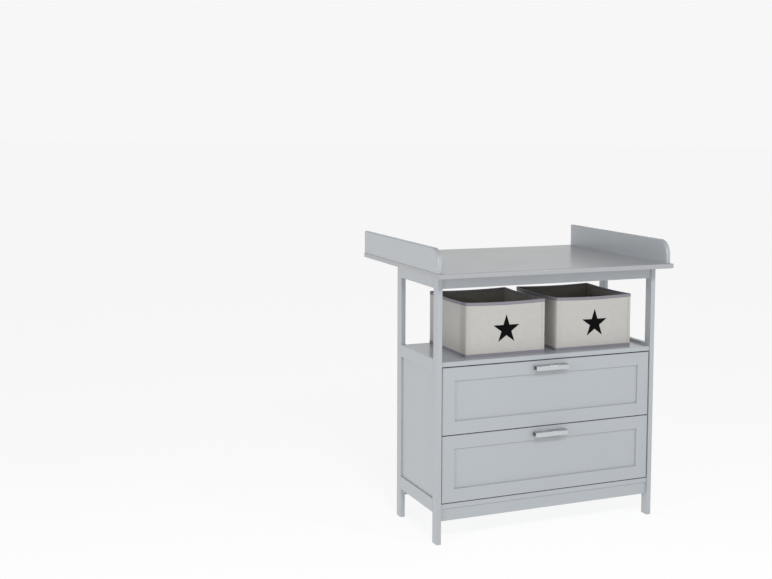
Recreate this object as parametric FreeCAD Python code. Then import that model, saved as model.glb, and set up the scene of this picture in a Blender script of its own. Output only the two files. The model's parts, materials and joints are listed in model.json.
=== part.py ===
import FreeCAD, Part
import math
import os

Vector = FreeCAD.Vector

# A changing dresser: a painted frame with two drawers below, an open bay with two
# fabric baskets above them, and a deep changing top with a guard at each side.
# Millimetres. X runs from left to right, Y from the front to the wall, Z up from the floor.
# The origin lies on the floor, under the middle of the changing top.

# --- Frame ---------------------------------------------------------------
frame_depth = 350.0            # from the legs' front face to their rear face
leg_height = 860.0
leg_thickness = 16.0           # along X, also the thickness of the side rails
leg_depth = 36.0               # along Y
edge_chamfer = 1.2             # broken edges of the painted boards
side_top_rail_height = 40.0
middle_rail_bottom = 553.0
middle_rail_height = 42.0
bottom_rail_bottom = 98.0
bottom_rail_height = 45.0
side_panel_thickness = 6.0
side_panel_play = 0.1          # on each face of the panel, in its grooves
tenon_length = 8.0             # also the depth of the panel's grooves
tenon_shoulder = 8.0           # rail, apron or plinth above and below its tenon
cross_tenon_thickness = 6.0    # tenons of the aprons and plinths

# --- Boards between the sides ---------------------------------------------
apron_thickness = 16.0
apron_height = 40.0
apron_setback = 6.0
shelf_top = 587.0
shelf_thickness = 16.0
bottom_board_top = 129.0
bottom_board_thickness = 16.0
board_setback = 5.0            # front edges of shelf and bottom board, behind the legs
plinth_thickness = 16.0
plinth_height = 40.0
plinth_setback = 9.0
back_panel_thickness = 3.0
back_panel_setback = 8.0       # behind the panel, to the rear face of the legs
back_panel_play = 0.1
back_groove_depth = 5.0
back_top_play = 0.5            # room over the panel and at its ends

# --- Changing top -----------------------------------------------------------
top_width = 850.0
top_side_overhang = 25.0       # beyond the outer faces of the legs
top_depth = 680.0
top_thickness = 16.0
top_front_overhang = 70.0      # beyond the front face of the legs
top_edge_radius = 3.0
guard_thickness = 16.0
guard_height = 77.0
guard_front_setback = 16.0
guard_side_setback = 2.0
guard_nose_radius = 50.0
guard_edge_radius = 4.0
guard_screw_radius = 2.0
guard_screw_length = 46.0
guard_screw_head_radius = 4.0
guard_screw_head_height = 3.0
guard_screw_end_distance = 90.0

# --- Angle brackets under the changing top -----------------------------------
bracket_leg = 20.0
bracket_width = 16.0
bracket_sheet = 1.5
bracket_end_distance = 134.0   # from a leg to the bracket's middle
bracket_screw_radius = 1.75
bracket_screw_length = 11.0
bracket_screw_head_radius = 3.5
bracket_screw_head_height = 1.8

# --- Cam connectors ---------------------------------------------------------------
cam_radius = 7.5
cam_depth = 12.0
cam_inset = 34.0               # from the end of the board to the cam's axis
cam_bolt_radius = 3.0
cam_bolt_thread = 10.0
cam_neck_radius = 2.0
cam_neck_clearance = 0.5
connector_setback = 14.0       # from the inner edge of a leg to the bolt's axis
cam_sides = 10                 # of the prism that stands for a cam's round body
fastener_sides = 6             # the same for bolts, screw heads and bosses
shank_sides = 6                # and for the shanks of screws

# --- Drawers -----------------------------------------------------------------
front_gap = 3.0                # all round a drawer front
front_thickness = 16.0
front_setback = 4.0
front_frame = 43.0             # flat border round the sunk field
front_recess = 5.0
front_edge_chamfer = 0.8
drawer_board = 12.0            # sides and back
drawer_rear_room = 19.0        # from the back of a drawer's box to the back panel
drawer_side_height = 150.0
drawer_side_lift = 12.0        # bottom edge of the sides over that of the front
drawer_bottom_thickness = 3.0
drawer_bottom_play = 0.1
drawer_groove_depth = 5.0
drawer_groove_lift = 10.0
drawer_cam_depth = 9.0
drawer_cam_height = 75.0
drawer_rabbet_depth = 4.0      # in the sides, for the ends of the back

# --- Roller runners -------------------------------------------------------------
runner_space = 12.5            # between a leg and a drawer side
runner_sheet = 1.2
runner_gap = 2.0               # behind the drawer front
roller_radius = 10.0
roller_width = 7.0
roller_pin_radius = 3.0
roller_bore_clearance = 0.05
roller_end_play = 0.1
roller_pin_head_radius = 4.5
roller_pin_head = 0.8
roller_shoulder_radius = 4.0
roller_running_gap = 0.2       # between a roller and the sheet it runs on
front_roller_lift = 0.8        # of the front roller over the rear one
front_roller_setback = 14.0
rear_roller_setback = 12.0
flange_gap = 1.0               # between sliding sheets
track_lift = 3.0               # rolling face of the track over the side's bottom edge
runner_foot = 9.0              # part of the drawer's rail under the drawer side
batten_height = 40.0
batten_drop = 8.0
runner_screw_radius = 1.5
runner_screw_length = 9.0
runner_screw_head_radius = 3.0
runner_screw_head_height = 0.8
runner_screw_end_distance = 45.0

# --- Pulls -------------------------------------------------------------------
pull_length = 118.0
pull_height = 16.0
pull_projection = 24.0
pull_sheet = 2.0
pull_outer_radius = 3.0
pull_boss_radius = 4.5
pull_boss_length = 6.0
pull_screw_spacing = 96.0
pull_screw_radius = 2.0
pull_screw_head_radius = 4.0
pull_screw_head_height = 2.5

# --- Baskets -----------------------------------------------------------------
basket_leg_gaps = {"left": 100.5, "right": 53.5}
basket_between = 44.0          # gap between the two baskets
basket_rear_gap = 3.0          # to the legs' rear face
basket_headroom = 55.0         # under the aprons
basket_wall = 3.0
basket_corner = 4.0            # cut off each upright corner
basket_front_setback = 43.0    # behind the legs' front face
binding_height = 9.0
binding_sheet = 0.8
base_board_thickness = 2.0
base_board_play = 1.0

# --- Planes that the pieces share ------------------------------------------------
outer_x = top_width / 2 - top_side_overhang
inner_x = outer_x - leg_thickness
leg_middle_x = (inner_x + outer_x) / 2
front_y = -top_depth / 2 + top_front_overhang
rear_y = front_y + frame_depth
front_leg_back = front_y + leg_depth
rear_leg_front = rear_y - leg_depth
shelf_bottom = shelf_top - shelf_thickness
bottom_board_bottom = bottom_board_top - bottom_board_thickness
board_front = front_y + board_setback
top_top = leg_height + top_thickness
apron_bottom = leg_height - apron_height
groove_width = side_panel_thickness + 2 * side_panel_play
back_panel_rear = rear_y - back_panel_setback
back_panel_front = back_panel_rear - back_panel_thickness
basket_width = (2 * inner_x - sum(basket_leg_gaps.values()) - basket_between) / 2
basket_depth = frame_depth - basket_front_setback - basket_rear_gap
basket_height = apron_bottom - shelf_top - basket_headroom
drawer_face = front_y + front_setback
drawer_joint = drawer_face + front_thickness
drawer_end = back_panel_front - drawer_rear_room
drawer_length = drawer_end - drawer_joint
runner_screw_positions = (runner_screw_end_distance, drawer_length - runner_screw_end_distance)

SIDES = {"left": -1, "right": 1}
UP = Vector(0, 0, 1)
DOWN = Vector(0, 0, -1)
FORWARD = Vector(0, -1, 0)
BACKWARD = Vector(0, 1, 0)

pieces = {}
bores = {}


# --- Shapes ---------------------------------------------------------------------
def box(x, y, z):
    """Block between two values on each axis, in either order."""
    low = Vector(min(x), min(y), min(z))
    return Part.makeBox(max(x) - low.x, max(y) - low.y, max(z) - low.z, low)


def rod(start, direction, radius, length):
    """Cylinder from a point along a direction."""
    return Part.makeCylinder(radius, length, start, direction)


def bar(start, direction, radius, length, sides):
    """Regular prism inside the cylinder of that radius, for a fastener or its hole."""
    first = UP if abs(direction.z) < 0.5 else BACKWARD
    second = direction.cross(first)
    turns = [2 * math.pi * (i + 0.5) / sides for i in range(sides)]
    corners = [start + (first * math.cos(t) + second * math.sin(t)) * radius for t in turns]
    return Part.Face(Part.makePolygon(corners + corners[:1])).extrude(direction * length)


def round_edges(shape, radius, wanted):
    """Rounds the edges for which wanted(edge) is true."""
    return shape.makeFillet(radius, [edge for edge in shape.Edges if wanted(edge)])


def break_edges(shape, width, wanted):
    """Chamfers the edges for which wanted(edge) is true."""
    return shape.makeChamfer(width, [edge for edge in shape.Edges if wanted(edge)])


def runs_along(axis):
    """Test for a straight edge along an axis, 0 for X, 1 for Y and 2 for Z."""
    def test(edge):
        span = edge.BoundBox
        lengths = (span.XLength, span.YLength, span.ZLength)
        return all((length > 1e-6) == (i == axis) for i, length in enumerate(lengths))
    return test


def board(x, y, z, axis, width=edge_chamfer):
    """Board whose four long edges, along the axis, are broken."""
    return break_edges(box(x, y, z), width, runs_along(axis))


def profile(points, plane, start, length):
    """Straight extrusion of a closed outline: plane XZ runs along Y, YZ along X."""
    if plane == "XZ":
        corners = [Vector(a, start, b) for a, b in points]
        run = Vector(0, length, 0)
    else:
        corners = [Vector(start, a, b) for a, b in points]
        run = Vector(length, 0, 0)
    return Part.Face(Part.makePolygon(corners + corners[:1])).extrude(run)


def screw(head_seat, direction, radius, length, head_radius, head_height):
    """Screw whose head stands behind its seat and whose shank goes along the direction."""
    head = bar(head_seat - direction * head_height, direction, head_radius, head_height, fastener_sides)
    return head.fuse(bar(head_seat, direction, radius, length, shank_sides)).removeSplitter()


def keep(name, shape):
    """Adds a piece, or one more solid to the group of that name."""
    pieces.setdefault(name, []).append(shape)


def bore(name, cutter):
    """Notes a hole or groove to be cut into a piece when all of them are known."""
    bores.setdefault(name, []).append(cutter)


# --- Side frames ------------------------------------------------------------------
def side_frame(side, sign):
    """Two legs, three rails tenoned into them and a panel loose in its grooves."""
    span_x = (sign * inner_x, sign * outer_x)
    groove_x = (sign * leg_middle_x - groove_width / 2, sign * leg_middle_x + groove_width / 2)
    legs = {"front": (front_y, front_leg_back), "rear": (rear_leg_front, rear_y)}
    for row, span_y in legs.items():
        keep(f"{side}_{row}_leg", board(span_x, span_y, (0, leg_height), 2))

    middle_rail_top = middle_rail_bottom + middle_rail_height
    bottom_rail_top = bottom_rail_bottom + bottom_rail_height
    rails = {
        "top": (leg_height - side_top_rail_height, leg_height),
        "middle": (middle_rail_bottom, middle_rail_top),
        "bottom": (bottom_rail_bottom, bottom_rail_top),
    }
    tenon_y = (front_leg_back - tenon_length, rear_leg_front + tenon_length)
    for name, (low, high) in rails.items():
        rail = board(span_x, (front_leg_back, rear_leg_front), (low, high), 1)
        tenons = box(groove_x, tenon_y, (low + tenon_shoulder, high - tenon_shoulder))
        keep(f"{side}_{name}_rail", rail.fuse(tenons).removeSplitter())

    mortise = box(groove_x, tenon_y, (rails["top"][0] + tenon_shoulder, leg_height - tenon_shoulder))
    groove = box(groove_x, tenon_y, (bottom_rail_bottom + tenon_shoulder, middle_rail_top - tenon_shoulder))
    for row in legs:
        bore(f"{side}_{row}_leg", mortise)
        bore(f"{side}_{row}_leg", groove)
    panel_z = (bottom_rail_top - tenon_length, middle_rail_bottom + tenon_length)
    for name in ("middle", "bottom"):
        bore(f"{side}_{name}_rail", box(groove_x, tenon_y, panel_z))

    panel_x = (groove_x[0] + side_panel_play, groove_x[1] - side_panel_play)
    keep(f"{side}_side_panel", box(panel_x, tenon_y, panel_z))


# --- Boards, plinths and back ----------------------------------------------------------
def cam_bolt(joint, inward):
    """Threaded end, whole bolt and hole for its neck, from a joint into the board."""
    thread = bar(joint, -inward, cam_bolt_radius, cam_bolt_thread, fastener_sides)
    neck = bar(joint, inward, cam_neck_radius, cam_inset - cam_radius, shank_sides)
    hole_radius = cam_neck_radius + cam_neck_clearance
    neck_hole = bar(joint, inward, hole_radius, cam_inset, shank_sides)
    return thread, thread.fuse(neck).removeSplitter(), neck_hole


def cam_connector(board_name, leg_name, joint, inward, open_side, reach):
    """Bolt from a leg, through the end of a board, to a cam that opens on one of its faces.

    joint is the point on the leg's face, and reach the way from the bolt to the board's face.
    """
    cam_middle = joint + inward * cam_inset
    cam = bar(cam_middle + open_side * reach, -open_side, cam_radius, cam_depth, cam_sides)
    thread, bolt, neck_hole = cam_bolt(joint, inward)
    keep("cam_locks", cam)
    keep("cam_bolts", bolt)
    bore(leg_name, thread)
    bore(board_name, cam)
    bore(board_name, neck_hole)


def setback_rows(setback, thickness):
    """Spans along Y of a front and a rear piece set back from the legs' faces."""
    return {
        "front": (front_y + setback, front_y + setback + thickness),
        "rear": (rear_y - setback - thickness, rear_y - setback),
    }


def cross_piece(kind, row, span_y, span_z):
    """Apron or plinth between a pair of legs, tenoned into both."""
    middle_y = sum(span_y) / 2
    reach = inner_x + tenon_length
    tenon_y = (middle_y - cross_tenon_thickness / 2, middle_y + cross_tenon_thickness / 2)
    tenon = box((-reach, reach), tenon_y, (span_z[0] + tenon_shoulder, span_z[1] - tenon_shoulder))
    body = board((-inner_x, inner_x), span_y, span_z, 0)
    keep(f"{row}_{kind}", body.fuse(tenon).removeSplitter())
    for side in SIDES:
        bore(f"{side}_{row}_leg", tenon)


def cross_boards():
    """Shelf, bottom board, aprons, plinths and the back panel in its grooves."""
    span_x = (-inner_x, inner_x)
    keep("shelf", board(span_x, (board_front, rear_y), (shelf_bottom, shelf_top), 0))
    keep("bottom_board", board(span_x, (board_front, rear_y), (bottom_board_bottom, bottom_board_top), 0))

    for row, span_y in setback_rows(apron_setback, apron_thickness).items():
        cross_piece("apron", row, span_y, (apron_bottom, leg_height))
    plinth_z = (bottom_board_bottom - plinth_height, bottom_board_bottom)
    for row, span_y in setback_rows(plinth_setback, plinth_thickness).items():
        cross_piece("plinth", row, span_y, plinth_z)

    bolt_y = {"front": front_leg_back - connector_setback, "rear": rear_leg_front + connector_setback}
    for side, sign in SIDES.items():
        inward = Vector(-sign, 0, 0)
        for row, y in bolt_y.items():
            leg_name = f"{side}_{row}_leg"
            shelf_joint = Vector(sign * inner_x, y, (shelf_bottom + shelf_top) / 2)
            cam_connector("shelf", leg_name, shelf_joint, inward, DOWN, shelf_thickness / 2)
            board_joint = Vector(sign * inner_x, y, (bottom_board_bottom + bottom_board_top) / 2)
            cam_connector("bottom_board", leg_name, board_joint, inward, UP, bottom_board_thickness / 2)

    groove = box(
        (-inner_x - back_groove_depth, inner_x + back_groove_depth),
        (back_panel_front - back_panel_play, back_panel_rear + back_panel_play),
        (bottom_board_top - back_groove_depth, shelf_bottom + back_groove_depth),
    )
    for name in ("left_rear_leg", "right_rear_leg", "shelf", "bottom_board"):
        bore(name, groove)
    panel_half = inner_x + back_groove_depth - back_top_play
    panel_z = (bottom_board_top - back_groove_depth, shelf_bottom + back_groove_depth - back_top_play)
    keep("back_panel", box((-panel_half, panel_half), (back_panel_front, back_panel_rear), panel_z))


# --- Changing top -------------------------------------------------------------------------
def guard(sign):
    """Upright board at one end of the changing top, with a rounded front corner."""
    low_y = -top_depth / 2 + guard_front_setback
    high_y = top_depth / 2
    low_z = top_top
    high_z = top_top + guard_height
    outer = sign * (top_width / 2 - guard_side_setback)
    inner = outer - sign * guard_thickness
    start = Vector(min(outer, inner), 0, 0)

    def point(y, z):
        return start + Vector(0, y, z)

    nose = guard_nose_radius
    slant = nose * (1 - 0.5 ** 0.5)
    arc = Part.Arc(
        point(low_y, high_z - nose),
        point(low_y + slant, high_z - slant),
        point(low_y + nose, high_z),
    )
    corners = [point(low_y + nose, high_z), point(high_y, high_z), point(high_y, low_z)]
    corners += [point(low_y, low_z), point(low_y, high_z - nose)]
    lines = [Part.LineSegment(a, b).toShape() for a, b in zip(corners, corners[1:])]
    outline = Part.Wire([arc.toShape()] + lines)
    blank = Part.Face(outline).extrude(Vector(guard_thickness, 0, 0))

    def on_outline(edge):
        span = edge.BoundBox
        at_foot = span.ZMax < low_z + 1e-6
        at_wall = span.YMin > high_y - 1e-6
        return span.XLength < 1e-6 and not at_foot and not at_wall

    return round_edges(blank, guard_edge_radius, on_outline)


def changing_top():
    """Top board, its two guards with their screws, and the brackets that hold it."""
    half_x = top_width / 2
    half_y = top_depth / 2
    top = box((-half_x, half_x), (-half_y, half_y), (leg_height, top_top))

    def long_and_away_from_wall(edge):
        span = edge.BoundBox
        return span.ZLength < 1e-6 and span.YMin < half_y - 1e-6

    keep("tabletop", round_edges(top, top_edge_radius, long_and_away_from_wall))

    low_y = -half_y + guard_front_setback
    screw_span = (low_y + guard_screw_end_distance, half_y - guard_screw_end_distance)
    for side, sign in SIDES.items():
        name = f"{side}_guard"
        keep(name, guard(sign))
        x = sign * (half_x - guard_side_setback - guard_thickness / 2)
        for y in (screw_span[0], sum(screw_span) / 2, screw_span[1]):
            seat = Vector(x, y, leg_height + guard_screw_head_height)
            fastener = screw(seat, UP, guard_screw_radius, guard_screw_length,
                             guard_screw_head_radius, guard_screw_head_height)
            keep("guard_screws", fastener)
            bore("tabletop", fastener)
            bore(name, fastener)
    brackets()


def brackets():
    """Steel angles from the aprons to the underside of the top, with a screw in each leg."""
    aprons = setback_rows(apron_setback, apron_thickness)
    for row, face, way in (("front", aprons["front"][1], 1), ("rear", aprons["rear"][0], -1)):
        for x in (bracket_end_distance - inner_x, inner_x - bracket_end_distance):
            outline = [
                (face, leg_height),
                (face + way * bracket_leg, leg_height),
                (face + way * bracket_leg, leg_height - bracket_sheet),
                (face + way * bracket_sheet, leg_height - bracket_sheet),
                (face + way * bracket_sheet, leg_height - bracket_leg),
                (face, leg_height - bracket_leg),
            ]
            angle = profile(outline, "YZ", x - bracket_width / 2, bracket_width)
            offset = (bracket_leg + bracket_sheet) / 2
            up_seat = Vector(x, face + way * offset, leg_height - bracket_sheet)
            side_seat = Vector(x, face + way * bracket_sheet, leg_height - offset)
            for seat, direction, target in (
                (up_seat, UP, "tabletop"),
                (side_seat, Vector(0, -way, 0), f"{row}_apron"),
            ):
                fastener = screw(seat, direction, bracket_screw_radius, bracket_screw_length,
                                 bracket_screw_head_radius, bracket_screw_head_height)
                keep("carcass_screws", fastener)
                bore(target, fastener)
                angle = angle.cut(fastener)
            keep("top_brackets", angle)


# --- Roller runners --------------------------------------------------------------------------
def roller(start, direction):
    """Nylon roller with the bore for its pin."""
    wheel = rod(start, direction, roller_radius, roller_width)
    return wheel.cut(rod(start, direction, roller_pin_radius + roller_bore_clearance, roller_width))


def roller_pin(foot, direction, reach):
    """Pin with a shoulder at its foot and a riveted head beyond the roller."""
    shoulder = reach - roller_end_play
    pin = bar(foot, direction, roller_shoulder_radius, shoulder, fastener_sides)
    shaft_length = reach + roller_width + roller_end_play
    pin = pin.fuse(rod(foot, direction, roller_pin_radius, shaft_length))
    head_foot = foot + direction * shaft_length
    head = bar(head_foot, direction, roller_pin_head_radius, roller_pin_head, fastener_sides)
    return pin.fuse(head).removeSplitter()


def runners(level, side, sign, front_bottom):
    """One track on the side frame, one rail on the drawer, and a roller on each."""
    def x_at(inset):
        return sign * (inner_x - inset)

    inward = Vector(-sign, 0, 0)
    side_bottom = front_bottom + drawer_side_lift
    track = side_bottom + track_lift
    rear_axle_z = track + roller_running_gap + roller_radius
    front_axle_z = rear_axle_z + front_roller_lift
    flange_low = front_axle_z + roller_radius + roller_running_gap
    flange_high = flange_low + runner_sheet
    lid_low = flange_high + flange_gap
    lid_high = lid_low + runner_sheet

    web_inset = runner_space - runner_sheet
    lip_inset = web_inset - flange_gap
    rail_front = drawer_joint
    track_front = rail_front + runner_gap
    track_outline = [
        (x_at(0), track - runner_sheet),
        (x_at(lip_inset), track - runner_sheet),
        (x_at(lip_inset), track),
        (x_at(runner_sheet), track),
        (x_at(runner_sheet), lid_low),
        (x_at(lip_inset), lid_low),
        (x_at(lip_inset), lid_high),
        (x_at(0), lid_high),
    ]
    channel = profile(track_outline, "XZ", track_front, drawer_length)
    reach = flange_gap
    axle_y = track_front + front_roller_setback
    foot = Vector(x_at(runner_sheet), axle_y, front_axle_z)
    channel = channel.fuse(roller_pin(foot, inward, reach)).removeSplitter()
    keep(f"{level}_front_rollers", roller(foot + inward * reach, inward))

    batten_low = max(track - batten_drop, bottom_rail_bottom + bottom_rail_height)
    batten_z = (batten_low, batten_low + batten_height)
    batten_x = (sign * inner_x, sign * (leg_middle_x - side_panel_thickness / 2))
    keep("runner_battens", box(batten_x, (front_leg_back, rear_leg_front), batten_z))
    for position in runner_screw_positions:
        seat = Vector(x_at(runner_sheet), track_front + position, front_axle_z)
        fastener = screw(seat, -inward, runner_screw_radius, runner_screw_length,
                         runner_screw_head_radius, runner_screw_head_height)
        keep("carcass_screws", fastener)
        channel = channel.cut(fastener)
        bore("runner_battens", fastener)
        bore(f"{side}_side_panel", fastener)
    keep(f"{level}_cabinet_runners", channel)

    flange_inset = runner_sheet + flange_gap
    foot_inset = runner_space + runner_foot
    rail_outline = [
        (x_at(runner_space), flange_high),
        (x_at(flange_inset), flange_high),
        (x_at(flange_inset), flange_low),
        (x_at(web_inset), flange_low),
        (x_at(web_inset), side_bottom - runner_sheet),
        (x_at(foot_inset), side_bottom - runner_sheet),
        (x_at(foot_inset), side_bottom),
        (x_at(runner_space), side_bottom),
    ]
    rail = profile(rail_outline, "XZ", rail_front, drawer_length)
    rear_axle_y = rail_front + drawer_length - rear_roller_setback
    rear_foot = Vector(x_at(web_inset), rear_axle_y, rear_axle_z)
    rail = rail.fuse(roller_pin(rear_foot, -inward, reach)).removeSplitter()
    keep(f"{level}_rear_rollers", roller(rear_foot - inward * reach, -inward))
    for position in runner_screw_positions:
        seat = Vector(x_at(runner_space + drawer_board / 2), rail_front + position, side_bottom - runner_sheet)
        fastener = screw(seat, UP, runner_screw_radius, runner_screw_length,
                         runner_screw_head_radius, runner_screw_head_height)
        keep(f"{level}_drawer_screws", fastener)
        bore(f"{level}_drawer_{side}_side", fastener)
        rail = rail.cut(fastener)
    keep(f"{level}_drawer_runners", rail)


# --- Drawers ----------------------------------------------------------------------------------
def drawer_front(span_x, span_y, span_z):
    """Front with a flat border round a field that is milled deeper."""
    blank = break_edges(box(span_x, span_y, span_z), front_edge_chamfer, lambda edge: True)
    field = box(
        (span_x[0] + front_frame, span_x[1] - front_frame),
        (span_y[0], span_y[0] + front_recess),
        (span_z[0] + front_frame, span_z[1] - front_frame),
    )
    return blank.cut(field)


def pull(middle):
    """Channel pull: a flange on the front, a top, and a lip with room for fingers behind it."""
    low = middle.z - pull_height / 2
    high = middle.z + pull_height / 2
    lip = drawer_face - pull_projection
    outline = [
        (drawer_face, low),
        (drawer_face, high),
        (lip, high),
        (lip, low),
        (lip + pull_sheet, low),
        (lip + pull_sheet, high - pull_sheet),
        (drawer_face - pull_sheet, high - pull_sheet),
        (drawer_face - pull_sheet, low),
    ]
    start_x = middle.x - pull_length / 2
    body = profile(outline, "YZ", start_x, pull_length)

    def outer_corner(edge):
        span = edge.BoundBox
        at_lip = abs(span.YMin - lip) < 1e-6 and abs(span.ZMax - high) < 1e-6
        return at_lip and runs_along(0)(edge)

    body = round_edges(body, pull_outer_radius, outer_corner)
    for offset in (-pull_screw_spacing / 2, pull_screw_spacing / 2):
        foot = Vector(middle.x + offset, drawer_face - pull_sheet, middle.z)
        body = body.fuse(bar(foot, FORWARD, pull_boss_radius, pull_boss_length, fastener_sides))
    return body.removeSplitter()


def drawer(level, front_bottom, front_height):
    """Front, box, pull, fasteners and runners of one drawer."""
    front_top = front_bottom + front_height
    half_front = inner_x - front_gap
    outer_side = inner_x - runner_space
    inner_side = outer_side - drawer_board
    side_bottom = front_bottom + drawer_side_lift
    side_top = side_bottom + drawer_side_height
    groove_low = side_bottom + drawer_groove_lift
    bottom_top = groove_low + drawer_bottom_thickness

    front_name = f"{level}_drawer_front"
    span_front = (-half_front, half_front)
    keep(front_name, drawer_front(span_front, (drawer_face, drawer_joint), (front_bottom, front_top)))
    back_half = inner_side + drawer_rabbet_depth
    back = box((-back_half, back_half), (drawer_end - drawer_board, drawer_end), (bottom_top, side_top))
    keep(f"{level}_drawer_back", back)

    groove_half = inner_side + drawer_groove_depth
    groove = box(
        (-groove_half, groove_half),
        (drawer_joint - drawer_groove_depth, drawer_end),
        (groove_low, bottom_top + drawer_bottom_play),
    )
    bore(front_name, groove)
    bottom_half = groove_half - drawer_bottom_play
    bottom_y = (drawer_joint - drawer_groove_depth + drawer_bottom_play, drawer_end)
    keep(f"{level}_drawer_bottom", box((-bottom_half, bottom_half), bottom_y, (groove_low, bottom_top)))

    for side, sign in SIDES.items():
        side_name = f"{level}_drawer_{side}_side"
        side_x = (sign * inner_side, sign * outer_side)
        keep(side_name, board(side_x, (drawer_joint, drawer_end), (side_bottom, side_top), 1, front_edge_chamfer))
        bore(side_name, groove)
        bore(side_name, back)
        drawer_connector(level, side_name, sign, side_bottom)
        runners(level, side, sign, front_bottom)

    pull_name = f"{level}_pull"
    middle = Vector(0, 0, front_top - front_frame / 2)
    keep(pull_name, pull(middle))
    for offset in (-pull_screw_spacing / 2, pull_screw_spacing / 2):
        seat = Vector(offset, drawer_joint, middle.z)
        length = front_thickness + pull_sheet + pull_boss_length / 2
        fastener = screw(seat, FORWARD, pull_screw_radius, length,
                         pull_screw_head_radius, pull_screw_head_height)
        keep(f"{level}_drawer_screws", fastener)
        bore(front_name, fastener)
        bore(pull_name, fastener)


def drawer_connector(level, side_name, sign, side_bottom):
    """Bolt from the drawer front into the end of a side, with its cam on the inner face."""
    side_middle = sign * (inner_x - runner_space - drawer_board / 2)
    joint = Vector(side_middle, drawer_joint, side_bottom + drawer_cam_height)
    open_side = Vector(-sign, 0, 0)
    cam_middle = joint + BACKWARD * cam_inset
    cam_face = cam_middle + open_side * (drawer_board / 2)
    cam = bar(cam_face, -open_side, cam_radius, drawer_cam_depth, cam_sides)
    thread, bolt, neck_hole = cam_bolt(joint, BACKWARD)
    keep(f"{level}_drawer_connectors", cam)
    keep(f"{level}_drawer_connectors", bolt)
    bore(f"{level}_drawer_front", thread)
    bore(side_name, cam)
    bore(side_name, neck_hole)


# --- Baskets --------------------------------------------------------------------------------
def tub(x, y, z, corner):
    """Block whose upright corners are cut off."""
    return break_edges(box(x, y, z), corner, runs_along(2))


def basket(side, sign):
    """Open fabric box with a board in its base and a binding folded over its rim."""
    leg_side = sign * (inner_x - basket_leg_gaps[side])
    x = (min(leg_side, leg_side - sign * basket_width), max(leg_side, leg_side - sign * basket_width))
    low_y = front_y + basket_front_setback
    y = (low_y, low_y + basket_depth)
    z = (shelf_top, shelf_top + basket_height)

    def layer(offset, span_z):
        span_x = (x[0] - offset, x[1] + offset)
        span_y = (y[0] - offset, y[1] + offset)
        return tub(span_x, span_y, span_z, basket_corner)

    floor = z[0] + basket_wall
    cavity = layer(-basket_wall, (floor, z[1] + basket_wall))
    body = layer(0, z).cut(cavity)
    keep(f"{side}_basket_body", body)

    band_z = (z[1] - binding_height, z[1] + binding_sheet)
    hole_z = (band_z[0] - binding_height, band_z[1] + binding_height)
    band = layer(binding_sheet, band_z).cut(layer(-basket_wall - binding_sheet, hole_z))
    keep(f"{side}_basket_binding", band.cut(body))

    inset = basket_wall + base_board_play
    board_x = (x[0] + inset, x[1] - inset)
    board_y = (y[0] + inset, y[1] - inset)
    board_z = (floor, floor + base_board_thickness)
    keep(f"{side}_basket_base", tub(board_x, board_y, board_z, basket_corner))


# --- Assembly ----------------------------------------------------------------------------------
for side_name, side_sign in SIDES.items():
    side_frame(side_name, side_sign)
cross_boards()
changing_top()

opening = shelf_bottom - bottom_board_top
drawer_front_height = (opening - 3 * front_gap) / 2
lower_front_bottom = bottom_board_top + front_gap
upper_front_bottom = lower_front_bottom + drawer_front_height + front_gap
drawer("upper", upper_front_bottom, drawer_front_height)
drawer("lower", lower_front_bottom, drawer_front_height)
for side_name, side_sign in SIDES.items():
    basket(side_name, side_sign)

os.makedirs("parts", exist_ok=True)
for node, solids in pieces.items():
    cutters = bores.get(node)
    if cutters:
        solids = [solid.cut(cutters) for solid in solids]
    loose = [one for solid in solids for one in solid.Solids]
    shape = loose[0] if len(loose) == 1 else Part.makeCompound(loose)
    if not shape.isValid():
        print("not valid:", node)
    shape.exportStep(f"parts/{node}.step")
print(len(pieces), "nodes")
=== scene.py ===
"""Looks of a painted changing dresser with two drawers and two fabric baskets.

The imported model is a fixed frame, and every piece made here takes its place from a node
of it. Metres, with X to the right, Y from the front to the wall and Z up from the floor.
"""

from __future__ import annotations

import json
import logging
import math
from dataclasses import dataclass, field
from enum import Enum
from typing import Callable, Iterable, Sequence

import bmesh
import bpy
from mathutils import Matrix, Vector, noise

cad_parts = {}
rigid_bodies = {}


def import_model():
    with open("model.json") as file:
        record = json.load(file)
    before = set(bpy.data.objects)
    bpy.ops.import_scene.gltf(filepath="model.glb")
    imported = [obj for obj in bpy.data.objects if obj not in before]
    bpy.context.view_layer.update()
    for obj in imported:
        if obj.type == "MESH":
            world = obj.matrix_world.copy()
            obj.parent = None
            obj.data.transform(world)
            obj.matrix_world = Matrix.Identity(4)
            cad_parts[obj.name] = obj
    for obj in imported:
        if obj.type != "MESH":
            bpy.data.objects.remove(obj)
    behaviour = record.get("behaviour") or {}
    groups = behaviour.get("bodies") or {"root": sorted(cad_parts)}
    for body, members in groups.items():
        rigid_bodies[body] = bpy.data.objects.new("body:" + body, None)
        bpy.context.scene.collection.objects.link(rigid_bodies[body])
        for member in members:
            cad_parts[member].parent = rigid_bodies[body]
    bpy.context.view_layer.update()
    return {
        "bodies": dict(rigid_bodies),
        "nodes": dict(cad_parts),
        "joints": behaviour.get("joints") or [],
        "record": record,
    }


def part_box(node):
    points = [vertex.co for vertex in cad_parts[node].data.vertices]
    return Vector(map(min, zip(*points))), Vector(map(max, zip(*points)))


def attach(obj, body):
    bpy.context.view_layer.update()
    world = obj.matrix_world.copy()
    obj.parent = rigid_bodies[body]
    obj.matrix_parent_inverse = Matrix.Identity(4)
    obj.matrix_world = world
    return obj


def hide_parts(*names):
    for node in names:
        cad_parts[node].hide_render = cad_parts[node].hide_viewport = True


LOG = logging.getLogger("changing_dresser")
MM = 0.001
# About the length in metres after which Blender's wave texture repeats at a scale of 1.
WAVE_PERIOD = 0.31
# Height in metres over the bottom board and under the shelf.
BETWEEN_BOARDS = 0.35

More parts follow.
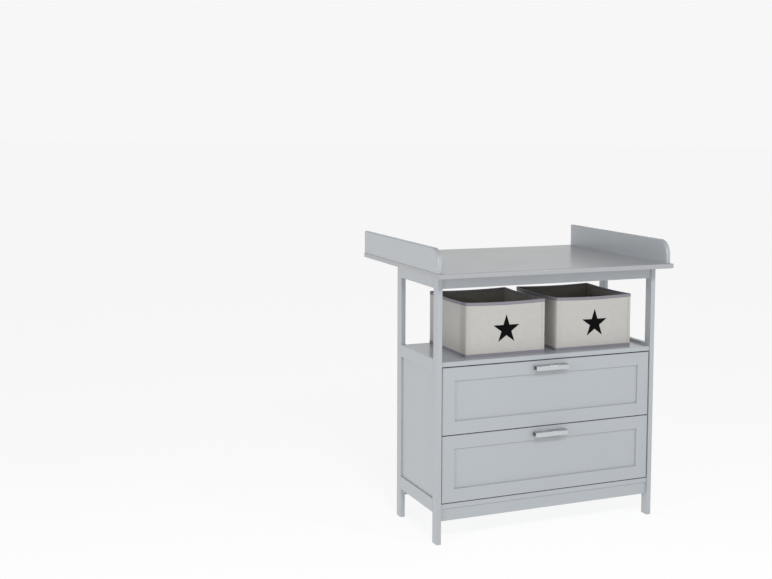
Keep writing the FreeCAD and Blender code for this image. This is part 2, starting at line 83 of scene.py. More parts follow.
Socket = bpy.types.NodeSocket
Piece = bpy.types.Object
Outline = Sequence[tuple[float, float]]
Verts = Sequence[bmesh.types.BMVert]
Points = Sequence[Vector]
Line = list[tuple[Vector, Vector]]


class Side(Enum):
    """Left or right, as seen from the front."""

    LEFT = "left"
    RIGHT = "right"


class Level(Enum):
    """The two drawers."""

    UPPER = "upper"
    LOWER = "lower"


class Recess(Enum):
    """Driver recesses, by the reach of their arms as a share of the top's radius."""

    SMALL_CROSS = 0.52
    WIDE_CROSS = 0.72


# --- Nodes ---


class Graph:
    """Short way to add and join the nodes of one tree."""

    def __init__(self, tree: bpy.types.NodeTree) -> None:
        """Keeps the tree."""
        self.tree = tree

    def add(self, kind: str, inputs: dict | None = None, out: object = 0, **settings: object) -> Socket:
        """Adds a node.

        Args:
            kind: Blender's name of the node's type.
            inputs: a value, or a socket to link, for each input by name or number.
            out: name or number of the output that is wanted.
            settings: properties of the node.

        Returns:
            That output of the new node.
        """
        node = self.tree.nodes.new(kind)
        for name, value in settings.items():
            setattr(node, name, value)
        for key, value in (inputs or {}).items():
            self.feed(node.inputs[key], value)
        return node.outputs[out]

    def feed(self, socket: Socket, value: object) -> None:
        """Links a socket to another one, or gives it a plain value.

        Args:
            socket: input of a node.
            value: another socket, or a plain value.
        """
        if isinstance(value, Socket):
            self.tree.links.new(value, socket)
        else:
            socket.default_value = value


class Surface(Graph):
    """A new material: its shader, and the nodes that feed it."""

    def __init__(self, name: str) -> None:
        """Makes the material.

        Args:
            name: of the material.
        """
        self.material = bpy.data.materials.new(name)
        self.material.use_nodes = True
        super().__init__(self.material.node_tree)
        self.shader = self.tree.nodes["Principled BSDF"]

    def give(self, name: str, value: object) -> None:
        """Feeds one of the shader's inputs."""
        self.feed(self.shader.inputs[name], value)

    def place(self, space: str = "Object") -> Socket:
        """Coordinates on the piece, in metres."""
        return self.add("ShaderNodeTexCoord", out=space)

    def stretched(self, *scale: float) -> Socket:
        """Coordinates on which marks are longer along an axis, the smaller its scale is."""
        return self.add("ShaderNodeMapping", {"Vector": self.place(), "Scale": scale})

    def noise(self, place: Socket, scale: float, detail: float = 2.0) -> Socket:
        """Noise from 0 to 1 with so many features to the metre."""
        inputs = {"Vector": place, "Scale": scale, "Detail": detail}
        return self.add("ShaderNodeTexNoise", inputs)

    def between(self, factor: Socket, low: float = 0.0, high: float = 1.0) -> Socket:
        """Number that goes from one value to another over the middle of a factor's range."""
        return self.add("ShaderNodeMapRange", {0: factor, 1: 0.3, 2: 0.7, 3: low, 4: high})

    def math(self, operation: str, first: Socket, second: object) -> Socket:
        """Sum or product of two numbers."""
        return self.add("ShaderNodeMath", {0: first, 1: second}, operation=operation)

    def tint(self, factor: Socket, colour: str, low: float, high: float) -> None:
        """Lets the colour follow a factor between two gains."""
        inputs = {0: factor, 6: linear(colour, low), 7: linear(colour, high)}
        self.give("Base Color", self.add("ShaderNodeMix", inputs, 2, data_type="RGBA"))

    def gloss(self, factor: Socket, low: float, high: float) -> None:
        """Lets the roughness follow a factor between two values."""
        self.give("Roughness", self.between(factor, low, high))

    def emboss(self, height: Socket, depth: float) -> None:
        """Gives the relief of a height from 0 to 1 at its real depth."""
        inputs = {"Height": height, "Distance": depth, "Strength": 1.0}
        self.give("Normal", self.add("ShaderNodeBump", inputs))


def linear(code: str, gain: float = 1.0) -> tuple[float, float, float, float]:
    """Scene colour of a hexadecimal screen colour, made lighter or darker by a gain.

    Args:
        code: six hexadecimal digits.
        gain: over 1 for lighter, under 1 for darker.

    Returns:
        Red, green, blue and a 1.
    """
    parts = [int(code[i : i + 2], 16) / 255 for i in (0, 2, 4)]
    bright = [p / 12.92 if p <= 0.04045 else ((p + 0.055) / 1.055) ** 2.4 for p in parts]
    return (*(min(1.0, gain * b) for b in bright), 1.0)


# --- Finishes ---


@dataclass(frozen=True)
class Finish:
    """A surface finish: one shader, and the nodes that give it colour, sheen and relief.

    Args:
        name: the material's name.
        colour: screen colour, hexadecimal.
        roughness: of the shader.
        slot: the record's material slot.
    """

    name: str
    colour: str
    roughness: float
    slot: str

    def material(self) -> bpy.types.Material:
        """Makes the material the first time it is asked for.

        Returns:
            The material.
        """
        name = f"{self.name}_finish"
        found = bpy.data.materials.get(name)
        if found:
            return found
        surface = Surface(name)
        surface.give("Base Color", linear(self.colour))
        surface.give("Roughness", self.roughness)
        self.dress(surface)
        return surface.material

    def dress(self, surface: Surface) -> None:
        """Adds this finish's own nodes to the shader.

        Args:
            surface: the material that is made.
        """
        raise NotImplementedError


@dataclass(frozen=True)
class Paint(Finish):
    """Sprayed furniture paint: faint clouding, fine orange peel and a glossy coat.

    Args:
        peel: depth of the orange peel, nought for none.
        clouding: how far the colour goes up and down.
        coat: weight of the glossy coat.
        coat_roughness: of the glossy coat.
    """

    peel: float = 0.000006
    clouding: float = 0.02
    coat: float = 0.55
    coat_roughness: float = 0.13

    def dress(self, surface: Surface) -> None:
        """Clouded colour, uneven gloss and relief.

        Args:
            surface: the material that is made.
        """
        place = surface.place()
        clouds = surface.noise(place, 6.0, 1.5)
        surface.tint(clouds, self.colour, 1 - self.clouding, 1 + self.clouding)
        surface.gloss(surface.noise(place, 6.0, 1.0), self.roughness - 0.01, self.roughness + 0.02)
        if self.peel:
            surface.emboss(surface.noise(place, 320.0), self.peel)
        surface.give("Coat Weight", self.coat)
        surface.give("Coat Roughness", self.coat_roughness)


@dataclass(frozen=True)
class Foil(Finish):
    """Smooth printed foil or lacquer on board, with a fine pore."""

    def dress(self, surface: Surface) -> None:
        """Pores drawn out along the board.

        Args:
            surface: the material that is made.
        """
        pores = surface.noise(surface.stretched(1.0, 0.2, 1.0), 900.0, 3.0)
        surface.tint(pores, self.colour, 0.96, 1.02)
        surface.emboss(pores, 0.00002)


@dataclass(frozen=True)
class BareWood(Finish):
    """Planed beech: long grain with short dark flecks."""

    def dress(self, surface: Surface) -> None:
        """Grain and flecks along Y.

        Args:
            surface: the material that is made.
        """
        drawn = surface.stretched(1.0, 0.06, 1.0)
        grain = surface.noise(drawn, 160.0, 6.0)
        flecks = surface.noise(drawn, 900.0, 1.0)
        tone = surface.between(surface.math("MULTIPLY", grain, flecks))
        surface.tint(tone, self.colour, 0.72, 1.2)
        surface.emboss(grain, 0.0001)


@dataclass(frozen=True)
class Metal(Finish):
    """Bare or plated metal, brushed along X or tumbled.

    Args:
        stretch: how much longer along X than across its marks are.
        marks: how many marks lie side by side in a metre.
        depth: of the marks.
    """

    stretch: float = 1.0
    marks: float = 400.0
    depth: float = 0.00001

    def dress(self, surface: Surface) -> None:
        """Metal with uneven gloss along its marks.

        Args:
            surface: the material that is made.
        """
        surface.give("Metallic", 1.0)
        lines = surface.noise(surface.stretched(1 / self.stretch, 1.0, 1.0), self.marks, 3.0)
        surface.gloss(lines, self.roughness - 0.06, self.roughness + 0.08)
        surface.emboss(lines, self.depth)


@dataclass(frozen=True)
class Coating(Finish):
    """Powder coat or moulded plastic: a fine pebbled skin.

    Args:
        grain: how many pebbles lie side by side in a metre.
        depth: of the pebbles.
    """

    grain: float = 700.0
    depth: float = 0.00003

    def dress(self, surface: Surface) -> None:
        """Pebbled relief and a trace of clouding.

        Args:
            surface: the material that is made.
        """
        place = surface.place()
        surface.tint(surface.noise(place, 30.0), self.colour, 0.97, 1.0)
        surface.emboss(surface.noise(place, self.grain, 1.0), self.depth)


@dataclass(frozen=True)
class Nonwoven(Finish):
    """Bonded nonwoven cloth: matted fibres with a grid of small welded dots.

    Args:
        fibre: how far the colour goes up and down.
        weld: depth of the dots and the fibres.
    """

    fibre: float = 0.05
    weld: float = 0.00016

    def dress(self, surface: Surface) -> None:
        """Mottled colour, soft sheen, and relief of fibres and dots on the cloth's own map.

        Args:
            surface: the material that is made.
        """
        place = surface.place("UV")
        mottle = surface.noise(place, 60.0, 6.0)
        fibres = surface.noise(place, 1400.0, 4.0)
        mean = surface.math("MULTIPLY", surface.math("ADD", mottle, fibres), 0.5)
        surface.tint(surface.between(mean), self.colour, 1 - self.fibre, 1 + self.fibre)
        inputs = {"Vector": place, "Scale": 620.0, "Randomness": 0.15}
        dots = surface.add("ShaderNodeTexVoronoi", inputs)
        surface.emboss(surface.math("ADD", dots, fibres), self.weld)
        surface.give("Sheen Weight", 0.04)
        surface.give("Sheen Roughness", 0.6)
        surface.give("Specular IOR Level", 0.2)


@dataclass(frozen=True)
class RibbedTape(Finish):
    """Woven binding tape with ribs across its length.

    Args:
        pitch: from rib to rib.
    """

    pitch: float = 0.0013

    def dress(self, surface: Surface) -> None:
        """Ribs and uneven yarns on the tape's own map.

        Args:
            surface: the material that is made.
        """
        place = surface.place("UV")
        inputs = {"Vector": place, "Scale": WAVE_PERIOD / self.pitch, "Distortion": 0.4, "Detail": 1.0}
        ribs = surface.add("ShaderNodeTexWave", inputs, 1, bands_direction="X")
        tone = surface.math("MULTIPLY", ribs, surface.noise(place, 500.0, 3.0))
        surface.tint(tone, self.colour, 0.8, 1.12)
        surface.emboss(ribs, 0.0002)
        surface.give("Specular IOR Level", 0.25)


@dataclass(frozen=True)
class Print(Finish):
    """Ink on the cloth, through which its fibres show."""

    def dress(self, surface: Surface) -> None:
        """Uneven cover of the ink.

        Args:
            surface: the material that is made.
        """
        cover = surface.noise(surface.place(), 900.0, 4.0)
        surface.tint(surface.between(cover), self.colour, 0.6, 1.7)
        surface.emboss(cover, 0.00008)
        surface.give("Specular IOR Level", 0.08)


@dataclass(frozen=True)
class Yarn(Finish):
    """Sewing thread."""

    def dress(self, surface: Surface) -> None:
        """Uneven dye along the thread."""
        surface.tint(surface.noise(surface.place(), 700.0), self.colour, 0.8, 1.1)
        surface.give("Sheen Weight", 0.3)


FRAME_PAINT = Paint("frame_paint", "a9aeb3", 0.33, "painted_board")
TOP_PAINT = Paint("top_paint", "a1a3a6", 0.3, "top_board", peel=0.0, clouding=0.012, coat=0.28)
DRAWER_FOIL = Foil("drawer_foil", "e2e2df", 0.42, "drawer_board")
BACK_LACQUER = Foil("back_lacquer", "d4d6d6", 0.5, "hardboard")
BEECH = BareWood("bare_beech", "cfa878", 0.55, "bare_wood")
PULL_METAL = Metal("pull_metal", "c6cacc", 0.30, "pull_metal", stretch=14.0, marks=900.0)
RUNNER_COAT = Coating("runner_coat", "e8e8e6", 0.4, "runner_steel")
NYLON = Coating("roller_nylon", "ecebe6", 0.35, "roller_nylon", grain=1500.0, depth=0.00001)
# The pull's inside: its dark colour is painted shade in the channel, and its higher roughness stands for the
# unpolished inside.
PULL_SHADED_INSIDE = Metal("pull_shaded_inside", "6f7376", 0.55, "pull_metal", marks=700.0, depth=0.00002)
ZINC = Metal("zinc_plate", "c9ccce", 0.32, "zinc_steel")
CAM_ZINC = Metal("cam_zinc", "a9abad", 0.45, "cam_zinc", marks=900.0, depth=0.00002)
CLOTH = Nonwoven("basket_cloth", "b8b6b2", 0.85, "basket_cloth")
LINING = Nonwoven("basket_lining", "9a968c", 0.88, "base_card", fibre=0.12)
TAPE = RibbedTape("binding_tape", "928f98", 0.7, "binding_tape")
INK = Print("star_ink", "060608", 0.8, "basket_cloth")
TAPE_THREAD = Yarn("tape_thread", "6f6a75", 0.6, "binding_tape")
SEAM_THREAD = Yarn("seam_thread", "9a958d", 0.6, "basket_cloth")


# --- Meshes ---


def circle(steps: int) -> list[tuple[float, float]]:
    """Cosine and sine of even steps round a circle."""
    turns = [2 * math.pi * i / steps for i in range(steps)]
    return [(math.cos(t), math.sin(t)) for t in turns]


def pairs(row: list) -> Iterable[tuple]:
    """Each item of a closed row with the next one."""
    return zip(row, row[1:] + row[:1])


@dataclass
class Shell:
    """Points, faces, map and finishes of a piece while it is being made."""

    points: list[Vector] = field(default_factory=list)
    faces: list[list[int]] = field(default_factory=list)
    places: list[list[tuple[float, float]]] = field(default_factory=list)
    finish: list[int] = field(default_factory=list)

    def ring(self, points: Iterable[Vector]) -> list[int]:
        """Adds a row of points.

        Args:
            points: their places.

        Returns:
            Their numbers.
        """
        start = len(self.points)
        self.points += [Vector(p) for p in points]
        return list(range(start, len(self.points)))

    def face(self, corners: list[int], places: Outline | None = None, finish: int = 0) -> None:
        """Adds one face.

        Args:
            corners: numbers of its points, in order.
            places: of the corners on the map, in metres; none for a piece that needs no map.
            finish: number of its finish.
        """
        self.faces.append(corners)
        self.places.append(places or [(0.0, 0.0)] * len(corners))
        self.finish.append(finish)

    def band(
        self,
        low: list[int],
        high: list[int],
        runs: Sequence[float] = (),
        rise: tuple[float, float] = (0.0, 0.0),
        closed: bool = True,
        finish: int = 0,
    ) -> None:
        """Joins two rows of points by quads.

        Args:
            low: numbers of one row's points.
            high: numbers of the other row's points.
            runs: distance along the row at each point, with one more at the end if closed;
                none for a piece that needs no map.
            rise: place of the two rows across the band, on the map.
            closed: whether the rows are rings.
            finish: which of the piece's finishes the quads have.
        """
        count = len(low)
        runs = runs or [0.0] * (count + 1)
        for i in range(count if closed else count - 1):
            j = (i + 1) % count
            places = [(runs[i], rise[0]), (runs[i + 1], rise[0]), (runs[i + 1], rise[1]), (runs[i], rise[1])]
            self.face([low[i], low[j], high[j], high[i]], places, finish)

    def turned(self, outline: Outline, steps: int, spot: Callable[[float, float, float], Vector]) -> None:
        """Turns a closed outline about an axis.

        Args:
            outline: (radius, place along the axis) of its corners, in order.
            steps: sides of the turned form.
            spot: point at a place along the axis and at two distances across it.
        """
        rings = [self.ring(spot(z, r * x, r * y) for x, y in circle(steps)) for r, z in outline]
        for low, high in pairs(rings):
            self.band(low, high)

    def object(self, name: str, finishes: Sequence[Finish], crease: float = 40.0) -> Piece:
        """Makes the piece.

        Args:
            name: of the object and its mesh.
            finishes: materials in the order of the faces' numbers.
            crease: angle in degrees past which an edge stays sharp.

        Returns:
            The object, at the origin, with its place in its mesh.
        """
        mesh = bpy.data.meshes.new(name)
        mesh.from_pydata(self.points, [], self.faces)
        layer = mesh.uv_layers.new(name="cloth_map")
        flat = [value for face in self.places for corner in face for value in corner]
        layer.data.foreach_set("uv", flat)
        for finish in finishes:
            mesh.materials.append(finish.material())
        mesh.polygons.foreach_set("material_index", self.finish)
        return finished(name, mesh, crease)


def finished(name: str, mesh: bpy.types.Mesh, crease: float = 40.0) -> Piece:
    """Turns the faces of a mesh outwards and smooths them but for the creases.

    Args:
        name: of the object.
        mesh: of the piece.
        crease: angle in degrees past which an edge stays sharp.

    Returns:
        The mesh's new object.
    """
    work = bmesh.new()
    work.from_mesh(mesh)
    bmesh.ops.recalc_face_normals(work, faces=work.faces[:])
    work.to_mesh(mesh)
    work.free()
    mesh.polygons.foreach_set("use_smooth", [True] * len(mesh.polygons))
    mesh.set_sharp_from_angle(angle=math.radians(crease))
    return placed(name, mesh)


def placed(name: str, data: bpy.types.ID) -> Piece:
    """Puts a new object in the scene.

    Args:
        name: of the object.
        data: a mesh, a camera or a lamp.

    Returns:
        The object.
    """
    made = bpy.data.objects.new(name, data)
    bpy.context.scene.collection.objects.link(made)
    return made


def from_bmesh(name: str, work: bmesh.types.BMesh, finish: Finish | None, crease: float = 40.0) -> Piece:
    """Makes a piece of a bmesh.

    Args:
        name: of the object and its mesh.
        work: the bmesh, which is freed.
        finish: its material, if it has one.
        crease: angle in degrees past which an edge stays sharp.

    Returns:
        The piece.
    """
    mesh = bpy.data.meshes.new(name)
    work.to_mesh(mesh)
    work.free()
    if finish:
        mesh.materials.append(finish.material())
    return finished(name, mesh, crease)


def walls(work: bmesh.types.BMesh, low: Verts, high: Verts) -> None:
    """Joins two closed rows of points by quads."""
    for (a, b), (d, c) in zip(pairs(low), pairs(high)):
        work.faces.new((a, b, c, d))


def islands(node: str) -> list[list[Vector]]:
    """Parts a node of the frame into its separate solids.

    Args:
        node: its name.

    Returns:
        The points of each solid, in the order of the solids' middles.
    """
    work = bmesh.new()
    work.from_mesh(bpy.data.objects[node].data)
    bmesh.ops.remove_doubles(work, verts=work.verts[:], dist=1e-6)
    left = set(work.verts)
    found = []
    while left:
        group, edge = set(), [left.pop()]
        while edge:
            vert = edge.pop()
            group.add(vert)
            near = {e.other_vert(vert) for e in vert.link_edges} & left
            left -= near
            edge += near
        found.append([v.co.copy() for v in group])
    work.free()
    return sorted(found, key=lambda points: tuple(round(c, 4) for c in middle_and_size(points)[0]))


def corners(points: Points) -> tuple[Vector, Vector]:
    """Lowest and highest corner of the box round some points."""
    low, high = (Vector([end(p[i] for p in points) for i in range(3)]) for end in (min, max))
    return low, high


def middle_and_size(points: Points) -> tuple[Vector, Vector]:
    """Centre and size of the box round some points."""
    low, high = corners(points)
    return (low + high) / 2, high - low


# --- Repeats ---


class Repeat:
    """A Geometry Nodes tree that sets a small part on points and bakes to a plain mesh."""

    NAME: str
    INPUTS: tuple[str, ...]
    KINDS = {"Part": "NodeSocketObject", "Finish": "NodeSocketMaterial", "Seed": "NodeSocketInt"}

    def __init__(self) -> None:
        """Makes the tree with its named inputs; those not in KINDS are numbers."""
        self.tree = bpy.data.node_groups.new(self.NAME, "GeometryNodeTree")
        face = self.tree.interface
        face.new_socket("Geometry", in_out="INPUT", socket_type="NodeSocketGeometry")
        self.keys = {}
        for label in self.INPUTS:
            kind = self.KINDS.get(label, "NodeSocketFloat")
            self.keys[label] = face.new_socket(label, in_out="INPUT", socket_type=kind).identifier
        face.new_socket("Geometry", in_out="OUTPUT", socket_type="NodeSocketGeometry")
        self.graph = Graph(self.tree)
        self.start = self.tree.nodes.new("NodeGroupInput").outputs
        self.build()

    def build(self) -> None:
        """Adds the nodes between the tree's two ends."""
        raise NotImplementedError

    def upright(self) -> Socket:
        """Reads the axis stored on each point.

        Returns:
            Turn that lays a part's Z along it.
        """
        name = {"Name": "axis"}
        axis = self.graph.add("GeometryNodeInputNamedAttribute", name, data_type="FLOAT_VECTOR")
        return self.graph.add("FunctionNodeAlignRotationToVector", {"Vector": axis}, axis="Z")

    def chance(self, low: float, high: float) -> Socket:
        """Number by chance between two values, another for each point."""
        inputs = {"Seed": self.start["Seed"], 2: low, 3: high}
        return self.graph.add("FunctionNodeRandomValue", inputs, 1, data_type="FLOAT")

    def close(self, points: Socket, turn: Socket, scale: Socket) -> None:
        """Sets the part on the points, as real faces with the finish, and ends the tree.

        Args:
            points: where the part goes.
            turn: of the part on each point.
            scale: of the part on each point.
        """
        part = self.graph.add("GeometryNodeObjectInfo", {"Object": self.start["Part"]}, "Geometry")
        inputs = {"Points": points, "Instance": part, "Rotation": turn, "Scale": scale}
        instances = self.graph.add("GeometryNodeInstanceOnPoints", inputs)
        real = self.graph.add("GeometryNodeRealizeInstances", {0: instances})
        inputs = {"Geometry": real, "Material": self.start["Finish"]}
        dressed = self.graph.add("GeometryNodeSetMaterial", inputs)
        self.graph.feed(self.tree.nodes.new("NodeGroupOutput").inputs[0], dressed)

    def bake(
        self,
        name: str,
        carrier: bpy.types.Mesh,
        part: Piece,
        finish: Finish,
        values: dict[str, object],
    ) -> Piece:
        """Runs the tree on a mesh and keeps the result as a plain mesh.

        Args:
            name: of the new piece.
            carrier: points or path, which is used up.
            part: set on the points, and used up too.
            finish: of the new piece.
            values: the tree's other inputs by name.

        Returns:
            The new piece.
        """
        made = placed(name, carrier)
        modifier = made.modifiers.new(name, "NODES")
        modifier.node_group = self.tree
        for label, value in {"Part": part, "Finish": finish.material(), **values}.items():
            modifier[self.keys[label]] = value
        bpy.context.view_layer.update()
        graph = bpy.context.evaluated_depsgraph_get()
        baked = bpy.data.meshes.new_from_object(made.evaluated_get(graph))
        made.modifiers.remove(modifier)
        made.data = baked
        baked.name = name
        used = (carrier, part.data)
        bpy.data.objects.remove(part)
        for mesh in used:
            bpy.data.meshes.remove(mesh)
        return made


class SetOnPoints(Repeat):
    """Sets a part on each point, its Z along the point's axis, turned by chance about it."""

    NAME = "set_on_points"
    INPUTS = ("Part", "Size", "Seed", "Finish")

    def build(self) -> None:
        """Instances on points, aligned to the stored axis."""
        inputs = {"Axis": (0, 0, 1), "Angle": self.chance(0.0, 2 * math.pi)}
        spin = self.graph.add("FunctionNodeAxisAngleToRotation", inputs)
        inputs = {"Rotation": self.upright(), "Rotate By": spin}
        turned = self.graph.add("FunctionNodeRotateRotation", inputs, rotation_space="LOCAL")
        self.close(self.start["Geometry"], turned, self.start["Size"])


class Stitching(Repeat):
    """Sews stitches along a path, their Z along the stored outward direction."""

    NAME = "stitching"
    INPUTS = ("Part", "Spacing", "Seed", "Finish")

    def build(self) -> None:
        """Resamples the path and sets a stitch on each point, slightly uneven."""
        curve = self.graph.add("GeometryNodeMeshToCurve", {0: self.start["Geometry"]})
        inputs = {"Curve": curve, "Length": self.start["Spacing"]}
        even = self.graph.add("GeometryNodeResampleCurve", inputs, mode="LENGTH")
        inputs = {"Rotation": self.upright(), "Vector": self.graph.add("GeometryNodeInputTangent")}
        turned = self.graph.add("FunctionNodeAlignRotationToVector", inputs, axis="X", pivot_axis="Z")
        self.close(even, turned, self.chance(0.88, 1.08))


def carrier(points: Points, axes: Points, edges: Sequence[tuple[int, int]] = ()) -> bpy.types.Mesh:
    """Makes what a tree sets its part on.

    Args:
        points: where the parts go, or what a path goes through.
        axes: direction stored on each point.
        edges: of the path, if there is one.

    Returns:
        The mesh.
    """
    mesh = bpy.data.meshes.new("carrier")
    mesh.from_pydata(list(points), list(edges), [])
    store = mesh.attributes.new("axis", "FLOAT_VECTOR", "POINT")
    store.data.foreach_set("vector", [value for axis in axes for value in axis])
    return mesh


# --- Fasteners ---


@dataclass(frozen=True)
class Fastener:
    """Place and size of one fastener, read from a solid of the frame.

    Args:
        top: middle of the face that takes the driver.
        axis: from the shank to the head, towards the driver.
        head: radius of the head.
        height: of the head.
        shank: radius of the shank.
        length: over all.
    """

    top: Vector
    axis: Vector
    head: float
    height: float
    shank: float
    length: float

    @classmethod
    def read(cls, points: Points) -> "Fastener":
        """Finds a screw's axis, head and shank from its points.

        Args:
            points: of the screw's solid.

        Returns:
            The screw.
        """
        low, high = corners(points)
        size = high - low
        along = max(range(3), key=lambda i: size[i])
        centre = (low + high) / 2
        unit = Vector([1.0 if i == along else 0.0 for i in range(3)])

        def reach(point: Vector) -> float:
            """Distance from the axis."""
            off = point - centre
            return (off - unit * off.dot(unit)).length

        head = max(reach(p) for p in points)
        wide = [p[along] for p in points if reach(p) > 0.9 * head]
        at_low = min(wide) - low[along] < high[along] - max(wide)
        top = centre.copy()
        top[along] = low[along] if at_low else high[along]
        far = [reach(p) for p in points if abs(p[along] - top[along]) > 0.7 * size[along]]
        axis = unit * (-1.0 if at_low else 1.0)
        return cls(top, axis, head, max(wide) - min(wide), max(far), size[along])

    def kind(self) -> tuple[int, ...]:
        """Size by which alike fasteners are grouped, in tenths of a millimetre."""
        return tuple(round(v * 1e4) for v in (self.head, self.height, self.length))


@dataclass
class ScrewMaker:
    """Makes cross-head screws, cams and bolts once for each size, and sets them where they go.

    Args:
        places: sets a template on its places.
        dome: how far a screw's shoulder lies under its top, as a share of the head's height.
        recess_depth: of a screw's cross, as a share of the head's height.
        recess_arm: half the width of a cross's arm, as a share of the top's radius.
        sides: of the round forms.
        seed: of the turns by chance.
    """

    places: SetOnPoints
    dome: float = 0.35
    recess_depth: float = 0.55
    recess_arm: float = 0.2
    sides: int = 20
    seed: int = 5

    def recessed(self, name: str, rings: Outline, radius: float, recess: Recess, depth: float) -> Piece:
        """Turned body with a cross milled into its top face, which lies at height nought.

        Args:
            name: of the template.
            rings: (radius, height) of the body from its point up to the top face's rim.
            radius: of the flat top face.
            recess: how wide the cross is.
            depth: of the cross.

        Returns:
            The template, with its driven face up.
        """
        work = bmesh.new()
        loops = [
            [work.verts.new((r * x, r * y, z)) for x, y in circle(self.sides)]
            for r, z in (*rings, (radius, 0.0))
        ]
        work.faces.new(loops[0][::-1])
        for low, high in zip(loops, loops[1:]):
            walls(work, low, high)
        reach, half = radius * recess.value, radius * self.recess_arm
        cross = []
        for quarter in range(4):
            spin = Matrix.Rotation(-quarter * math.pi / 2, 2)
            cross += [spin @ Vector(c) for c in ((half, reach), (half, half), (reach, half))]
        upper = [work.verts.new((c.x, c.y, 0.0)) for c in cross]
        lower = [work.verts.new((c.x * 0.7, c.y * 0.7, -depth)) for c in cross]
        rim = [work.edges.get(ends) for ends in pairs(loops[-1])]
        edges = [work.edges.new(ends) for ends in pairs(upper)]
        bmesh.ops.triangle_fill(work, edges=rim + edges, use_beauty=True, normal=(0, 0, 1))
        walls(work, upper, lower)
        work.faces.new(lower)
        return from_bmesh(name, work, None, 30.0)

    def screw(self, like: Fastener) -> Piece:
        """Makes a screw with a low domed head.

        Args:
            like: a screw of its size.

        Returns:
            The template.
        """
        head, height = like.head, like.height
        rings = [
            (like.shank * 0.25, -like.length),
            (like.shank, -like.length + 3 * like.shank),
            (like.shank, -height),
            (head * 0.98, -height),
            (head, -height * 0.7),
            (head * 0.94, -height * self.dome),
        ]
        return self.recessed("screw", rings, head * 0.78, Recess.SMALL_CROSS, height * self.recess_depth)

    def cam(self, like: Fastener) -> Piece:
        """Makes a cam with a wide cross slot and a thin collar.

        Args:
            like: a cam of its size.

        Returns:
            The template.
        """
        radius, depth = like.head, like.length
        rings = [
            (radius * 0.92, -depth),
            (radius * 0.96, -depth * 0.96),
            (radius * 0.96, -depth * 0.16),
            (radius, -depth * 0.14),
            (radius, -depth * 0.02),
        ]
        return self.recessed("cam", rings, radius * 0.97, Recess.WIDE_CROSS, depth * 0.3)

    def bolt(self, like: Fastener) -> Piece:
        """Makes a cam bolt: thread, neck and the knob that the cam grips.

        Args:
            like: a bolt of its size.

        Returns:
            The template.
        """
        outline = [
            (like.shank * 0.05, -like.length),
            (like.shank * 1.35, -like.length),
            (like.shank * 1.35, -like.length + 1.5 * MM),
            (like.shank, -like.length + 2.5 * MM),
            (like.shank, -like.height),
            (like.head, -like.height),
            (like.head, 0.0),
            (like.shank * 0.05, 0.0),
        ]
        shell = Shell()
        shell.turned(outline, self.sides, lambda along, x, y: Vector((x, y, along)))
        return shell.object("bolt", [], 30.0)

    def set_out(
        self,
        node: str,
        kind: str,
        body: str,
        found: Sequence[Fastener],
        template: Callable[[Fastener], Piece],
        finish: Finish,
    ) -> None:
        """Sets one template on each fastener's place, all as one piece.

        Args:
            node: of the frame, which the piece stands for.
            kind: end of the piece's name.
            body: on which it rides.
            found: fasteners of one size.
            template: makes the part.
            finish: its material.
        """
        part = template(found[0])
        points = carrier([f.top for f in found], [f.axis for f in found])
        values = {"Size": 1.0, "Seed": self.seed}
        made = self.places.bake(f"{node}_{kind}", points, part, finish, values)
        made.data.set_sharp_from_angle(angle=math.radians(30))
        settle(made, body, finish, node)


def out_of_board(cam: Vector) -> Vector:
    """Direction of a carcass cam's driven face: down from the shelf, up from the bottom board."""
    return Vector((0, 0, -1 if cam.z > BETWEEN_BOARDS else 1))


def into_drawer(cam: Vector) -> Vector:
    """Direction of a drawer cam's driven face, on the inside of the drawer's side."""
    return Vector((-1.0 if cam.x > 0 else 1.0, 0, 0))


@dataclass
class Fasteners:
    """Screws, cams and cam bolts of the whole dresser.

    Args:
        maker: makes and sets them.
        slim: a fastener longer than so many radii of its head is a bolt, not a cam.
    """

    maker: ScrewMaker
    slim: float = 3.0

    def screws(self, node: str, body: str) -> None:
        """Puts real screws in place of a node's plain ones, one piece for each size.

        Args:
            node: of the frame.
            body: on which they ride.
        """
        groups: dict[tuple[int, ...], list[Fastener]] = {}
        for points in islands(node):
            one = Fastener.read(points)
            groups.setdefault(one.kind(), []).append(one)
        for number, kind in enumerate(sorted(groups), 1):
            self.maker.set_out(node, f"size_{number}", body, groups[kind], self.maker.screw, ZINC)

    def cams(self, node: str, body: str, outward: Callable[[Vector], Vector]) -> None:
        """Puts cams, and cam bolts if the node has them, in place of plain ones.

        Args:
            node: of the frame.
            body: on which they ride.
            outward: direction of a cam's driven face, from its middle.
        """
        cams, bolts = [], []
        for points in islands(node):
            one = Fastener.read(points)
            if one.length > self.slim * one.head:
                bolts.append(one)
                continue
            centre, size = middle_and_size(points)
            axis = outward(centre)
            depth, radius = abs(size.dot(axis)), max(size) / 2
            cams.append(Fastener(centre + axis * depth / 2, axis, radius, depth, radius, depth))
        self.maker.set_out(node, "cams", body, cams, self.maker.cam, CAM_ZINC)
        if bolts:
            self.maker.set_out(node, "bolts", body, bolts, self.maker.bolt, CAM_ZINC)

    def build(self) -> None:
        """Makes every fastener that can be seen from somewhere."""
        self.screws("guard_screws", "carcass")
        self.screws("carcass_screws", "carcass")
        self.cams("cam_locks", "carcass", out_of_board)
        for level in Level:
            body = f"{level.value}_drawer"
            self.screws(f"{body}_screws", body)
            self.cams(f"{body}_connectors", body, into_drawer)


def settle(piece: Piece, body: str, finish: Finish, *nodes: str) -> None:
    """Puts a finished piece on its body and hides what it stands for.

    Args:
        piece: at the origin, with its place in its mesh.
        body: on which it rides.
        finish: not used.
        nodes: of the frame, which it stands for.
    """
    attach(piece, body)
    if nodes:
        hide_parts(*nodes)
    LOG.info("%s on %s: %d faces", piece.name, body, len(piece.data.polygons))


# --- Wood, runners and pulls ---


